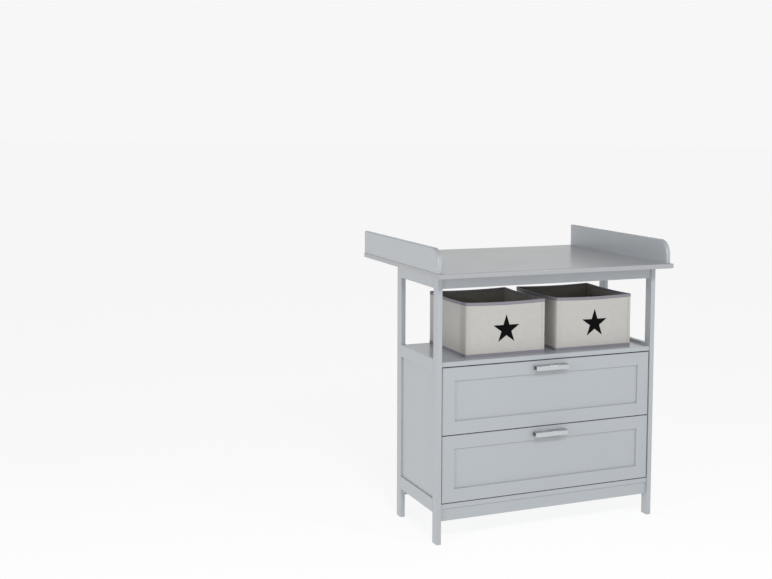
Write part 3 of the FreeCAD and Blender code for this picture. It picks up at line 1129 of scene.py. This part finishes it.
@dataclass
class Woodwork:
    """The nodes that are shown as they are, with one finish for each slot of the record."""

    finishes: tuple[Finish, ...] = (
        FRAME_PAINT,
        TOP_PAINT,
        BEECH,
        DRAWER_FOIL,
        BACK_LACQUER,
        PULL_METAL,
        RUNNER_COAT,
        NYLON,
        ZINC,
        CAM_ZINC,
        CLOTH,
        TAPE,
        LINING,
    )

    def dress(self, frame: dict) -> None:
        """Gives each node the finish of its slot.

        Args:
            frame: the nodes and the record, as loaded.
        """
        by_slot = {finish.slot: finish for finish in self.finishes}
        for subpart in frame["record"]["subparts"]:
            node = frame["nodes"][subpart["node"]]
            material = by_slot[subpart["material_slot"]].material()
            node.data.materials.clear()
            node.data.materials.append(material)
            LOG.info("%s: %s", subpart["node"], material.name)


@dataclass
class Pull:
    """Channel pull of bent sheet: flange, top and lip, with its arrises eased.

    Args:
        level: of the drawer.
        sheet: thickness.
        bend: outer radius of the bend between top and lip.
        ease: of the arrises.
        bend_steps: parts of the bend.
        boss_radius: of the two screw bosses on the flange.
        boss_length: of the bosses.
        boss_spacing: between the bosses' middles.
        inner_edge: how far in from the outside the inner faces begin.
    """

    level: Level
    sheet: float = 2.0 * MM
    bend: float = 3.0 * MM
    ease: float = 0.35 * MM
    bend_steps: int = 6
    boss_radius: float = 4.5 * MM
    boss_length: float = 6.0 * MM
    boss_spacing: float = 96.0 * MM
    inner_edge: float = 1.8 * MM

    def outline(self, low: Vector, high: Vector) -> list[tuple[float, float]]:
        """Draws the section, with the bend between top and lip rounded inside and out.

        Args:
            low: lowest corner of the pull's box.
            high: highest corner of it.

        Returns:
            Its corners as (y, z), in order.
        """
        lip, face = low.y, high.y

        def bend(radius: float) -> list[tuple[float, float]]:
            """Goes a quarter turn round the bend's centre, from the top to the lip.

            Args:
                radius: of the turn.

            Returns:
                Its points.
            """
            centre = (lip + self.bend, high.z - self.bend)
            turns = [math.pi / 2 * (1 + i / self.bend_steps) for i in range(self.bend_steps + 1)]
            return [(centre[0] + radius * math.cos(t), centre[1] + radius * math.sin(t)) for t in turns]

        outer = [(face, low.z), (face, high.z), *bend(self.bend), (lip, low.z)]
        inner = [(lip + self.sheet, low.z), *bend(self.bend - self.sheet)[::-1]]
        inner += [(face - self.sheet, high.z - self.sheet), (face - self.sheet, low.z)]
        return outer + inner

    def build(self) -> None:
        """Makes the pull and puts it on its drawer."""
        node = f"{self.level.value}_pull"
        low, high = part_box(node)
        work = bmesh.new()
        section = self.outline(low, high)
        start = [work.verts.new((low.x, y, z)) for y, z in section]
        face = work.faces.new(start)
        pushed = bmesh.ops.extrude_face_region(work, geom=[face])
        ends = [v for v in pushed["geom"] if isinstance(v, bmesh.types.BMVert)]
        bmesh.ops.translate(work, verts=ends, vec=(high.x - low.x, 0, 0))
        bmesh.ops.recalc_face_normals(work, faces=work.faces[:])
        sharp = [e for e in work.edges if e.is_manifold and e.calc_face_angle() > math.radians(60)]
        bmesh.ops.bevel(work, geom=sharp, offset=self.ease, segments=2, profile=0.5, affect="EDGES")
        middle_x, middle_z = (low.x + high.x) / 2, (low.z + high.z) / 2
        for offset in (-self.boss_spacing / 2, self.boss_spacing / 2):
            centre = Vector((middle_x + offset, high.y - self.sheet - self.boss_length / 2, middle_z))
            turn = Matrix.Translation(centre) @ Matrix.Rotation(math.pi / 2, 4, "X")
            bmesh.ops.create_cone(
                work,
                cap_ends=True,
                segments=20,
                radius1=self.boss_radius,
                radius2=self.boss_radius,
                depth=self.boss_length,
                matrix=turn,
            )
        piece = from_bmesh(f"{self.level.value}_channel_pull", work, PULL_METAL, 35.0)
        self.paint_inside_shade(piece, low, high)
        settle(piece, f"{self.level.value}_drawer", PULL_METAL, node)

    def paint_inside_shade(self, piece: Piece, low: Vector, high: Vector) -> None:
        """Paints the inside of the channel darker than the brushed outside, as painted shade where lip and
        top keep light out; it is also rougher.

        Args:
            piece: the pull.
            low: lowest corner of the pull's box.
            high: highest corner of it.
        """
        # Second material: a darker colour on the inner faces, as painted shade.
        piece.data.materials.append(PULL_SHADED_INSIDE.material())
        edge = self.inner_edge
        for face in piece.data.polygons:
            spot = face.center
            inside = low.y + edge < spot.y < high.y - edge and spot.z < high.z - edge
            if inside and low.x + edge < spot.x < high.x - edge:
                face.material_index = 1


@dataclass
class Rollers:
    """Nylon rollers, dished between hub and rim, with eased edges.

    Args:
        rim: thickness of the tread.
        hub: thickness round the bore.
        dish: depth of the hollow between them.
        ease: of the edges.
        steps: sides of the round.
    """

    rim: float = 2.2 * MM
    hub: float = 2.4 * MM
    dish: float = 1.6 * MM
    ease: float = 0.5 * MM
    steps: int = 40

    def outline(self, radius: float, bore: float, width: float) -> list[tuple[float, float]]:
        """Draws the section of one roller.

        Args:
            radius: of the tread.
            bore: radius of the bore.
            width: along the axis.

        Returns:
            Its corners as (radius, place along the axis), in order.
        """
        half, ease = width / 2, self.ease
        hub, rim = bore + self.hub, radius - self.rim
        near = [
            (bore, -half),
            (hub - ease, -half),
            (hub, -half + self.dish),
            (rim, -half + self.dish),
            (rim + ease, -half),
            (radius - ease, -half),
            (radius, -half + ease),
        ]
        return near + [(r, -z) for r, z in reversed(near)]

    def build(self, level: Level, row: str) -> None:
        """Makes the pair of rollers of one row of a drawer's runners.

        Args:
            level: of the drawer.
            row: front or rear.
        """
        name = f"{level.value}_{row}"
        shell = Shell()
        for points in islands(f"{name}_rollers"):
            centre, size = middle_and_size(points)
            bore = min((p - centre).yz.length for p in points)
            outline = self.outline(size.z / 2, bore, size.x)
            shell.turned(outline, self.steps, lambda along, y, z: centre + Vector((along, y, z)))
        piece = shell.object(f"{name}_dished_rollers", [NYLON], 30.0)
        settle(piece, f"{name}_roller_pair", NYLON, f"{name}_rollers")


# --- Baskets ---


@dataclass(frozen=True)
class RimPoint:
    """A place on the outline of a basket seen from above.

    Args:
        place: in X and Y, on the cloth's outer face.
        out: outward direction.
        share: from 0 to 1 along its panel.
        run: distance from the outline's start.
        panel: 0 front, 1 right, 2 back, 3 left.
    """

    place: Vector
    out: Vector
    share: float
    run: float
    panel: int


def bulge(share: float) -> float:
    """Half a wave over a share from 0 to 1."""
    return math.sin(math.pi * min(max(share, 0.0), 1.0))


def fade(share: float, rate: float) -> float:
    """One over the middle of a share from 0 to 1, falling to nought at both ends."""
    return max(0.0, min(1.0, rate * share, rate * (1 - share)))


@dataclass
class Basket:
    """Soft box of stiffened cloth, with taped rim and hem, sewn corners and a printed star.

    Args:
        side: left or right.
        stitching: sews the threads.
        wall: thickness of the cloth.
        corner: radius of the upright corners.
        crown: how far the middle of a panel stands out.
        wrinkle: height of the folds in the cloth.
        folds: how many to the metre along the walls, and over the walls' height.
        fine_folds: how much closer the finer folds lie.
        fades: how steeply the folds grow from a panel's sides, and from its foot and rim.
        sag: how far the rim sinks between the corners.
        tape_fold: how far down the tape turns over at the rim.
        seam_lift: how far the seams stand off the cloth.
        stitch_inset: from the edge of a tape or a seam to its stitches.
        star_inner: radius of the star's inner corners, as a share of the outer one.
    """

    side: Side
    stitching: Stitching
    wall: float = 3.0 * MM
    corner: float = 4.0 * MM
    corner_steps: int = 4
    panel_steps: int = 36
    rows: int = 18
    crown: float = 2.6 * MM
    wrinkle: float = 0.9 * MM
    folds: tuple[float, float] = (11.0, 2.6)
    fine_folds: float = 2.7
    fades: tuple[float, float] = (6.0, 5.0)
    sag: float = 3.2 * MM
    tape_width: float = 9.5 * MM
    tape_sheet: float = 0.7 * MM
    tape_fold: float = 1.2 * MM
    hem_width: float = 10.0 * MM
    seam_width: float = 9.0 * MM
    seam_lift: float = 1.1 * MM
    stitch_spacing: float = 3.4 * MM
    stitch_length: float = 2.5 * MM
    stitch_radius: float = 0.28 * MM
    stitch_inset: float = 1.8 * MM
    stitch_seed: int = 7
    star_radius: float = 49.5 * MM
    star_inner: float = 0.382
    star_height: float = 85.0 * MM
    star_lift: float = 0.25 * MM

    def __post_init__(self) -> None:
        """Reads the basket's place from the frame."""
        self.body = f"{self.side.value}_basket"
        self.low, self.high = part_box(f"{self.body}_body")
        # Another part of the noise for each basket, so that their folds differ.
        self.seed = 3.7 if self.side is Side.LEFT else 11.2
        self.outline = self.round_outline()
        self.length = self.outline[-1].run + (self.outline[0].place - self.outline[-1].place).length

    def round_outline(self) -> list[RimPoint]:
        """Goes round from the front's left end, counter-clockwise as seen from above.

        Returns:
            The outline.
        """
        low, high, r = self.low, self.high, self.corner
        ends = [
            (Vector((low.x + r, low.y)), Vector((high.x - r, low.y)), Vector((0, -1))),
            (Vector((high.x, low.y + r)), Vector((high.x, high.y - r)), Vector((1, 0))),
            (Vector((high.x - r, high.y)), Vector((low.x + r, high.y)), Vector((0, 1))),
            (Vector((low.x, high.y - r)), Vector((low.x, low.y + r)), Vector((-1, 0))),
        ]
        raw = []
        for panel, (start, end, out) in enumerate(ends):
            for i in range(self.panel_steps + 1):
                share = i / self.panel_steps
                raw.append((start.lerp(end, share), out, share, panel))
            centre = end - out * r
            for i in range(1, self.corner_steps):
                turn = Matrix.Rotation(math.pi / 2 * i / self.corner_steps, 2)
                raw.append((centre + (turn @ out) * r, turn @ out, 1.0, panel))
        points, run = [], 0.0
        for i, (place, out, share, panel) in enumerate(raw):
            if i:
                run += (place - raw[i - 1][0]).length
            points.append(RimPoint(place, out, share, run, panel))
        return points

    def tall(self, rim: RimPoint) -> float:
        """Height of the wall, whose rim sags between the corners."""
        return self.high.z - self.sag * (1 - (2 * rim.share - 1) ** 2) - self.low.z

    def swell(self, rim: RimPoint, height: float) -> float:
        """Works out the swelling and the folds of the cloth.

        Args:
            rim: place on the outline.
            height: from 0 at the foot to 1 at the rim.

        Returns:
            How far the cloth stands out there.
        """
        held = bulge(rim.share) * bulge(height)
        spot = Vector((rim.run * self.folds[0], height * self.folds[1], self.seed))
        folds = noise.noise(spot) + 0.5 * noise.noise(spot * self.fine_folds)
        smooth = fade(rim.share, self.fades[0]) * fade(height, self.fades[1])
        return self.crown * held + self.wrinkle * folds * smooth

    def skin(self, rim: RimPoint, height: float, lift: float = 0.0) -> Vector:
        """Point on the cloth's outer face, or lifted off it.

        Args:
            rim: place on the outline.
            height: from 0 at the foot to 1 at the rim.
            lift: outwards from the cloth.

        Returns:
            The point.
        """
        away = self.swell(rim, height) + lift
        spot = rim.place + rim.out * away
        return Vector((spot.x, spot.y, self.low.z + height * self.tall(rim)))

    def share_of(self, rise: float, rim: RimPoint) -> float:
        """Height from 0 to 1 of a real height over the shelf."""
        return rise / self.tall(rim)

    def runs(self) -> list[float]:
        """Distances along the outline, with its whole length at the end."""
        return [rim.run for rim in self.outline] + [self.length]

    def lay(self, shell: Shell, columns: Sequence[RimPoint], heights: list[float], lift: float) -> list:
        """Adds a row of points for each height, on the cloth or lifted off it."""
        return [shell.ring(self.skin(rim, h, lift) for rim in columns) for h in heights]

    def cloth(self) -> Piece:
        """Makes walls and floor, light outside and dark inside.

        Returns:
            The piece.
        """
        shell, runs = Shell(), self.runs()
        height = self.high.z - self.low.z
        steps = [i / self.rows for i in range(self.rows + 1)]
        outer = self.lay(shell, self.outline, steps, 0.0)
        floor = self.wall / height
        inner = self.lay(shell, self.outline, [floor + (1 - floor) * h for h in steps], -self.wall)
        for i in range(self.rows):
            rise = (steps[i] * height, steps[i + 1] * height)
            shell.band(outer[i], outer[i + 1], runs, rise, finish=0)
            shell.band(inner[i + 1], inner[i], runs, rise[::-1], finish=1)
        shell.band(outer[-1], inner[-1], runs, (height, height + self.wall), finish=1)
        for ring, finish in ((outer[0], 0), (inner[0], 1)):
            shell.face(ring, [tuple(shell.points[i].xy) for i in ring], finish)
        return shell.object(f"{self.body}_cloth", [CLOTH, LINING], 50.0)

    def tape(self, name: str, section: Callable[[RimPoint], list[Vector]]) -> Piece:
        """Tape of one section all round the outline.

        Args:
            name: end of the piece's name.
            section: closed section at a place of the outline.

        Returns:
            The tape.
        """
        shell, runs = Shell(), self.runs()
        columns = [section(rim) for rim in self.outline]
        rings = [shell.ring(points) for points in zip(*columns)]
        across = [0.0]
        for one, two in pairs(columns[0]):
            across.append(across[-1] + (two - one).length)
        for (low, high), rise in zip(pairs(rings), zip(across, across[1:])):
            shell.band(low, high, runs, rise)
        return shell.object(f"{self.body}_{name}", [TAPE], 50.0)

    def rim_tape(self) -> Piece:
        """Makes the tape folded over the rim, both legs lying on the cloth.

        Returns:
            The tape.
        """
        sheet, shoulder = self.tape_sheet, 0.35
        down, up = Vector((0, 0, self.tape_fold)), Vector((0, 0, sheet * shoulder))

        def section(rim: RimPoint) -> list[Vector]:
            """Goes from the outer foot over the rim to the inner foot, and back on the cloth.

            Args:
                rim: place on the outline.

            Returns:
                The closed section there.
            """
            foot = self.share_of(self.tall(rim) - self.tape_width, rim)
            outer_foot, outer_top = (self.skin(rim, h, sheet) for h in (foot, 1.0))
            inner_foot, inner_top = (self.skin(rim, h, -self.wall - sheet) for h in (foot, 1.0))
            ridge = (outer_top + inner_top) / 2 + Vector((0, 0, sheet))
            crown = [outer_top - down, outer_top.lerp(ridge, shoulder) + up, ridge]
            crown += [inner_top.lerp(ridge, shoulder) + up, inner_top - down]
            under = [self.skin(rim, foot, -self.wall), self.skin(rim, 1.0, -self.wall)]
            under += [self.skin(rim, 1.0), self.skin(rim, foot)]
            return [outer_foot, *crown, inner_foot, *under]

        return self.tape("rim_tape", section)

    def hem_tape(self) -> Piece:
        """Makes the tape round the foot of the walls.

        Returns:
            The tape.
        """

        def section(rim: RimPoint) -> list[Vector]:
            """Goes up the tape's outside and down on the cloth.

            Args:
                rim: place on the outline.

            Returns:
                The closed section there.
            """
            height = self.share_of(self.hem_width, rim)
            mid = self.share_of(self.hem_width / 2, rim)
            lifted = [self.skin(rim, h, self.tape_sheet) for h in (0.0, mid, height)]
            return lifted + [self.skin(rim, h) for h in (height, mid, 0.0)]

        return self.tape("hem_tape", section)

    def width(self, panel: int) -> float:
        """Length of a panel between its corners."""
        size = self.high - self.low
        return (size.x if panel in (0, 2) else size.y) - 2 * self.corner

    def straight(self, panel: int) -> list[RimPoint]:
        """Outline of the front or the back, without the round corner."""
        return [rim for rim in self.outline if rim.panel == panel and abs(rim.out.x) < 1e-6]

    def seams(self) -> Piece:
        """Makes the turned-in seam allowances that stand up beside the corners of front and back.

        Returns:
            All four as one piece.
        """
        shell = Shell()
        for panel in (0, 2):
            row, width = self.straight(panel), self.width(panel)
            self.strip(shell, [rim for rim in row if rim.share * width <= self.seam_width])
            self.strip(shell, [rim for rim in row if (1 - rim.share) * width <= self.seam_width])
        return shell.object(f"{self.body}_seams", [CLOTH], 50.0)

    def strip(self, shell: Shell, columns: Sequence[RimPoint]) -> None:
        """Adds one upright strip between hem and rim, lifted off the cloth and closed.

        Args:
            shell: of the seams.
            columns: places on the outline that the strip covers.
        """
        low_edge = self.share_of(self.hem_width, columns[0])
        high_edge = 1 - self.share_of(self.tape_width, columns[0])
        heights = [low_edge + (high_edge - low_edge) * (i / self.rows) for i in range(self.rows + 1)]
        top = self.lay(shell, columns, heights, self.seam_lift)
        under = self.lay(shell, columns, heights, 0.0)
        runs = [rim.run for rim in columns]
        tall = self.high.z - self.low.z
        for i in range(self.rows):
            rise = (heights[i] * tall, heights[i + 1] * tall)
            shell.band(top[i], top[i + 1], runs, rise, closed=False)
            shell.band(under[i + 1], under[i], runs, rise, closed=False)
            for end in (0, -1):
                shell.face([top[i][end], top[i + 1][end], under[i + 1][end], under[i][end]])
        for row in (0, -1):
            shell.band(top[row], under[row], runs, (0.0, self.seam_lift), closed=False)

    def star(self) -> Piece:
        """Makes the plain five-pointed star printed on the middle of the front.

        Returns:
            The star.
        """
        shell = Shell()
        centre_x = (self.low.x + self.high.x) / 2
        tips = []
        for i in range(10):
            turn = math.pi / 2 + math.pi * i / 5
            reach = self.star_radius * (1.0 if i % 2 == 0 else self.star_inner)
            tips.append(Vector((reach * math.cos(turn), reach * math.sin(turn))))
        edge = [a.lerp(b, k / 4) for a, b in pairs(tips) for k in range(4)]
        width = self.width(0)

        def spot(flat: Vector, lift: float) -> Vector:
            """Lays a point of the flat star on the front.

            Args:
                flat: the point, from the star's middle.
                lift: outwards from the cloth.

            Returns:
                The point in space.
            """
            share = (flat.x + centre_x - self.low.x - self.corner) / width
            rim = RimPoint(Vector((centre_x + flat.x, self.low.y)), Vector((0, -1)), share, share * width, 0)
            return self.skin(rim, self.share_of(self.star_height + flat.y, rim), lift)

        # Rings inside the outline let the print follow the swollen cloth.
        sizes = (1.0, 0.8, 0.6, 0.4, 0.2)
        rings = [shell.ring(spot(p * size, self.star_lift) for p in edge) for size in sizes]
        for outer, inner in zip(rings, rings[1:]):
            shell.band(outer, inner)
        hub = shell.ring([spot(Vector((0, 0)), self.star_lift)])[0]
        for one, two in pairs(rings[-1]):
            shell.face([one, two, hub])
        back = shell.ring(spot(p, 0.0) for p in edge)
        shell.band(back, rings[0])
        shell.face(back[::-1])
        return shell.object(f"{self.body}_star", [INK], 60.0)

    def base(self) -> Piece:
        """Makes the stiff board in the floor, covered with lining cloth.

        Returns:
            The board.
        """
        low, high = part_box(f"{self.body}_base")
        work = bmesh.new()
        size, centre = high - low, (high + low) / 2
        place = Matrix.Translation(centre) @ Matrix.Diagonal((*size, 1.0))
        bmesh.ops.create_cube(work, size=1.0, matrix=place)
        upright = [e for e in work.edges if abs(e.verts[0].co.z - e.verts[1].co.z) > size.z / 2]
        bmesh.ops.bevel(work, geom=upright, offset=self.corner, segments=4, profile=0.5, affect="EDGES")
        flat = [e for e in work.edges if abs(e.verts[0].co.z - e.verts[1].co.z) < size.z / 2]
        bmesh.ops.bevel(work, geom=flat, offset=size.z * 0.4, segments=2, profile=0.5, affect="EDGES")
        layer = work.loops.layers.uv.new("cloth_map")
        for face in work.faces:
            for loop in face.loops:
                loop[layer].uv = loop.vert.co.xy
        return from_bmesh(f"{self.body}_base_board", work, LINING, 50.0)

    def stitch(self) -> Piece:
        """Makes one stitch: a short thread that dips into the cloth at both ends.

        Returns:
            The template.
        """
        work = bmesh.new()
        half, radius = self.stitch_length / 2, self.stitch_radius
        bends = ((-half, -0.6, 0.5), (-0.6 * half, 0.5, 1.0), (0.6 * half, 0.5, 1.0), (half, -0.6, 0.5))
        rings = []
        for x, rise, width in bends:
            z, r = rise * radius, width * radius
            rings.append([work.verts.new((x, r * c, z + r * s)) for c, s in circle(6)])
        for one, two in zip(rings, rings[1:]):
            walls(work, one, two)
        work.faces.new(rings[0][::-1])
        work.faces.new(rings[-1])
        return from_bmesh("stitch", work, None, 60.0)

    def sew(self, name: str, lines: Sequence[Line], finish: Finish) -> None:
        """Runs stitches along some lines, as one piece.

        Args:
            name: end of the piece's name.
            lines: points with their outward directions.
            finish: of the thread.
        """
        points, axes, edges = [], [], []
        for line in lines:
            start = len(points)
            points += [place for place, _ in line]
            axes += [out for _, out in line]
            edges += [(start + i, start + i + 1) for i in range(len(line) - 1)]
        values = {"Spacing": self.stitch_spacing, "Seed": self.stitch_seed}
        path = carrier(points, axes, edges)
        made = self.stitching.bake(f"{self.body}_{name}", path, self.stitch(), finish, values)
        settle(made, self.body, finish)

    def round_line(self, rise: Callable[[RimPoint], float], inside: bool = False) -> Line:
        """Goes round the basket on the tape.

        Args:
            rise: height over the shelf at a place.
            inside: whether it lies on the inside.

        Returns:
            The closed line.
        """
        line = []
        for rim in [*self.outline, self.outline[0]]:
            away = -self.wall - self.tape_sheet if inside else self.tape_sheet
            out = rim.out.to_3d() * (-1 if inside else 1)
            line.append((self.skin(rim, self.share_of(rise(rim), rim), away), out))
        return line

    def tape_lines(self) -> list[Line]:
        """Finds where the tapes are sewn on: outside and inside at the rim, and at the foot.

        Returns:
            The three lines.
        """

        def near_rim(rim: RimPoint) -> float:
            """Height of the stitches under the rim."""
            return self.tall(rim) - self.tape_width + self.stitch_inset

        near_foot = self.hem_width - self.stitch_inset
        return [
            self.round_line(near_rim),
            self.round_line(near_rim, inside=True),
            self.round_line(lambda rim: near_foot),
        ]

    def seam_lines(self) -> list[Line]:
        """Finds where the seams at the corners are sewn, from the hem to the rim's tape.

        Returns:
            The four lines.
        """
        lines = []
        foot, rise, steps = 0.07, 0.86, 12
        heights = [foot + rise * i / steps for i in range(steps + 1)]
        for panel in (0, 2):
            row, width = self.straight(panel), self.width(panel)
            inset = (self.seam_width - self.stitch_inset) / width
            for share in (inset, 1 - inset):
                place = row[0].place.lerp(row[-1].place, share)
                rim = RimPoint(place, row[0].out, share, row[0].run + share * width, panel)
                out = rim.out.to_3d()
                lines.append([(self.skin(rim, h, self.seam_lift), out) for h in heights])
        return lines

    def build(self) -> None:
        """Makes the basket's pieces and puts them on its body."""
        settle(self.cloth(), self.body, CLOTH, f"{self.body}_body")
        settle(self.rim_tape(), self.body, TAPE, f"{self.body}_binding")
        settle(self.base(), self.body, LINING, f"{self.body}_base")
        settle(self.hem_tape(), self.body, TAPE)
        settle(self.seams(), self.body, CLOTH)
        settle(self.star(), self.body, INK)
        self.sew("tape_stitches", self.tape_lines(), TAPE_THREAD)
        self.sew("seam_stitches", self.seam_lines(), SEAM_THREAD)


# --- Studio ---


@dataclass(frozen=True)
class PhotoView:
    """Camera at the photograph's angle, fitted to the dresser's edges.

    Args:
        place: of the lens.
        turn: to the right of straight ahead.
        tilt: downwards.
        roll: about the line of sight.
        lens: focal length in millimetres.
        sensor: width in millimetres.
        shift: of the picture, in widths of it.
    """

    place: Vector = Vector((-1.9366, -3.8941, 1.3539))
    turn: float = math.radians(25.767)
    tilt: float = math.radians(5.380)
    roll: float = math.radians(0.614)
    lens: float = 59.3
    sensor: float = 36.0
    shift: tuple[float, float] = (-0.1477, -0.0667)

    def build(self) -> None:
        """Makes the scene's camera."""
        ahead = Vector((math.sin(self.turn), math.cos(self.turn), 0))
        right = Vector((math.cos(self.turn), -math.sin(self.turn), 0))
        forward = ahead * math.cos(self.tilt) - Vector((0, 0, math.sin(self.tilt)))
        up = Vector((0, 0, math.cos(self.tilt))) + ahead * math.sin(self.tilt)
        axis_x = right * math.cos(self.roll) + up * math.sin(self.roll)
        axis_y = up * math.cos(self.roll) - right * math.sin(self.roll)
        camera = bpy.data.cameras.new("photo_view")
        camera.sensor_width = self.sensor
        camera.lens = self.lens
        camera.shift_x, camera.shift_y = self.shift
        camera.clip_end = 200.0
        made = placed("photo_view", camera)
        pose = Matrix((axis_x, axis_y, -forward)).transposed().to_4x4()
        pose.translation = self.place
        made.matrix_world = pose
        bpy.context.scene.camera = made


@dataclass(frozen=True)
class Softbox:
    """A large soft lamp.

    Args:
        name: of the lamp.
        place: its middle.
        aim: what it points at.
        size: width and height.
        power: in watts.
    """

    name: str
    place: Vector
    aim: Vector
    size: tuple[float, float]
    power: float

    def build(self) -> None:
        """Makes the lamp."""
        lamp = bpy.data.lights.new(self.name, "AREA")
        lamp.shape = "RECTANGLE"
        lamp.size, lamp.size_y = self.size
        lamp.energy = self.power
        made = placed(self.name, lamp)
        made.location = self.place
        made.rotation_euler = (self.aim - self.place).to_track_quat("-Z", "Y").to_euler()


@dataclass
class Studio:
    """White floor and backdrop, with a dimmer ceiling and soft lamps.

    Args:
        backdrop: brightness up to a low height over the horizon.
        ceiling: brightness from a greater height up.
        heights: sines of those two heights.
        floor_radius: of the round floor.
        floor_colour: of its surface.
        floor_glow: light that the floor sends out itself, as one lit from below.
        lamps: the soft lamps.
    """

    backdrop: float = 0.93
    ceiling: float = 0.35
    heights: tuple[float, float] = (0.12, 0.45)
    floor_radius: float = 60.0
    floor_colour: str = "7c7c7c"
    floor_glow: float = 0.84
    lamps: tuple[Softbox, ...] = (
        Softbox("front", Vector((-0.9, -3.2, 2.8)), Vector((0, 0, 0.5)), (1.0, 0.8), 49.0),
        Softbox("edge", Vector((1.7, -3.0, 2.7)), Vector((0, 0, 0.6)), (0.2, 0.18), 16.0),
        Softbox("left", Vector((-3.2, -1.5, 1.25)), Vector((0, 0, 0.6)), (0.6, 0.8), 17.0),
    )

    def surround(self) -> None:
        """Backdrop and ceiling."""
        world = bpy.data.worlds.new("surround")
        world.use_nodes = True
        graph = Graph(world.node_tree)
        background = world.node_tree.nodes["Background"]
        background.inputs["Color"].default_value = (1.0, 1.0, 1.0, 1.0)
        ahead = graph.add("ShaderNodeTexCoord", out="Generated")
        height = graph.add("ShaderNodeSeparateXYZ", {0: ahead}, 2)
        low, high = self.heights
        inputs = {0: height, 1: low, 2: high, 3: self.backdrop, 4: self.ceiling}
        graph.feed(background.inputs["Strength"], graph.add("ShaderNodeMapRange", inputs))
        bpy.context.scene.world = world

    def floor(self) -> None:
        """Round floor under the dresser."""
        work = bmesh.new()
        bmesh.ops.create_circle(work, cap_ends=True, segments=96, radius=self.floor_radius)
        made = from_bmesh("studio_floor", work, None)
        surface = Surface("studio_floor")
        surface.give("Base Color", linear(self.floor_colour))
        surface.give("Roughness", 1.0)
        surface.give("Specular IOR Level", 0.0)
        surface.give("Emission Color", (1.0, 1.0, 1.0, 1.0))
        surface.give("Emission Strength", self.floor_glow)
        made.data.materials.append(surface.material)

    def build(self) -> None:
        """Makes the surround, the floor and the lamps, shown without a film curve."""
        bpy.context.scene.view_settings.view_transform = "Standard"
        self.surround()
        self.floor()
        for lamp in self.lamps:
            lamp.build()


def main() -> None:
    """Builds the dresser's looks round the frame."""
    logging.basicConfig(level=logging.INFO, format="%(name)s: %(message)s")
    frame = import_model()
    Woodwork().dress(frame)
    Fasteners(ScrewMaker(SetOnPoints())).build()
    rollers = Rollers()
    for level in Level:
        Pull(level).build()
        for row in ("front", "rear"):
            rollers.build(level, row)
    stitching = Stitching()
    for side in Side:
        Basket(side, stitching).build()
    Studio().build()
    PhotoView().build()


if __name__ == "__main__":
    main()
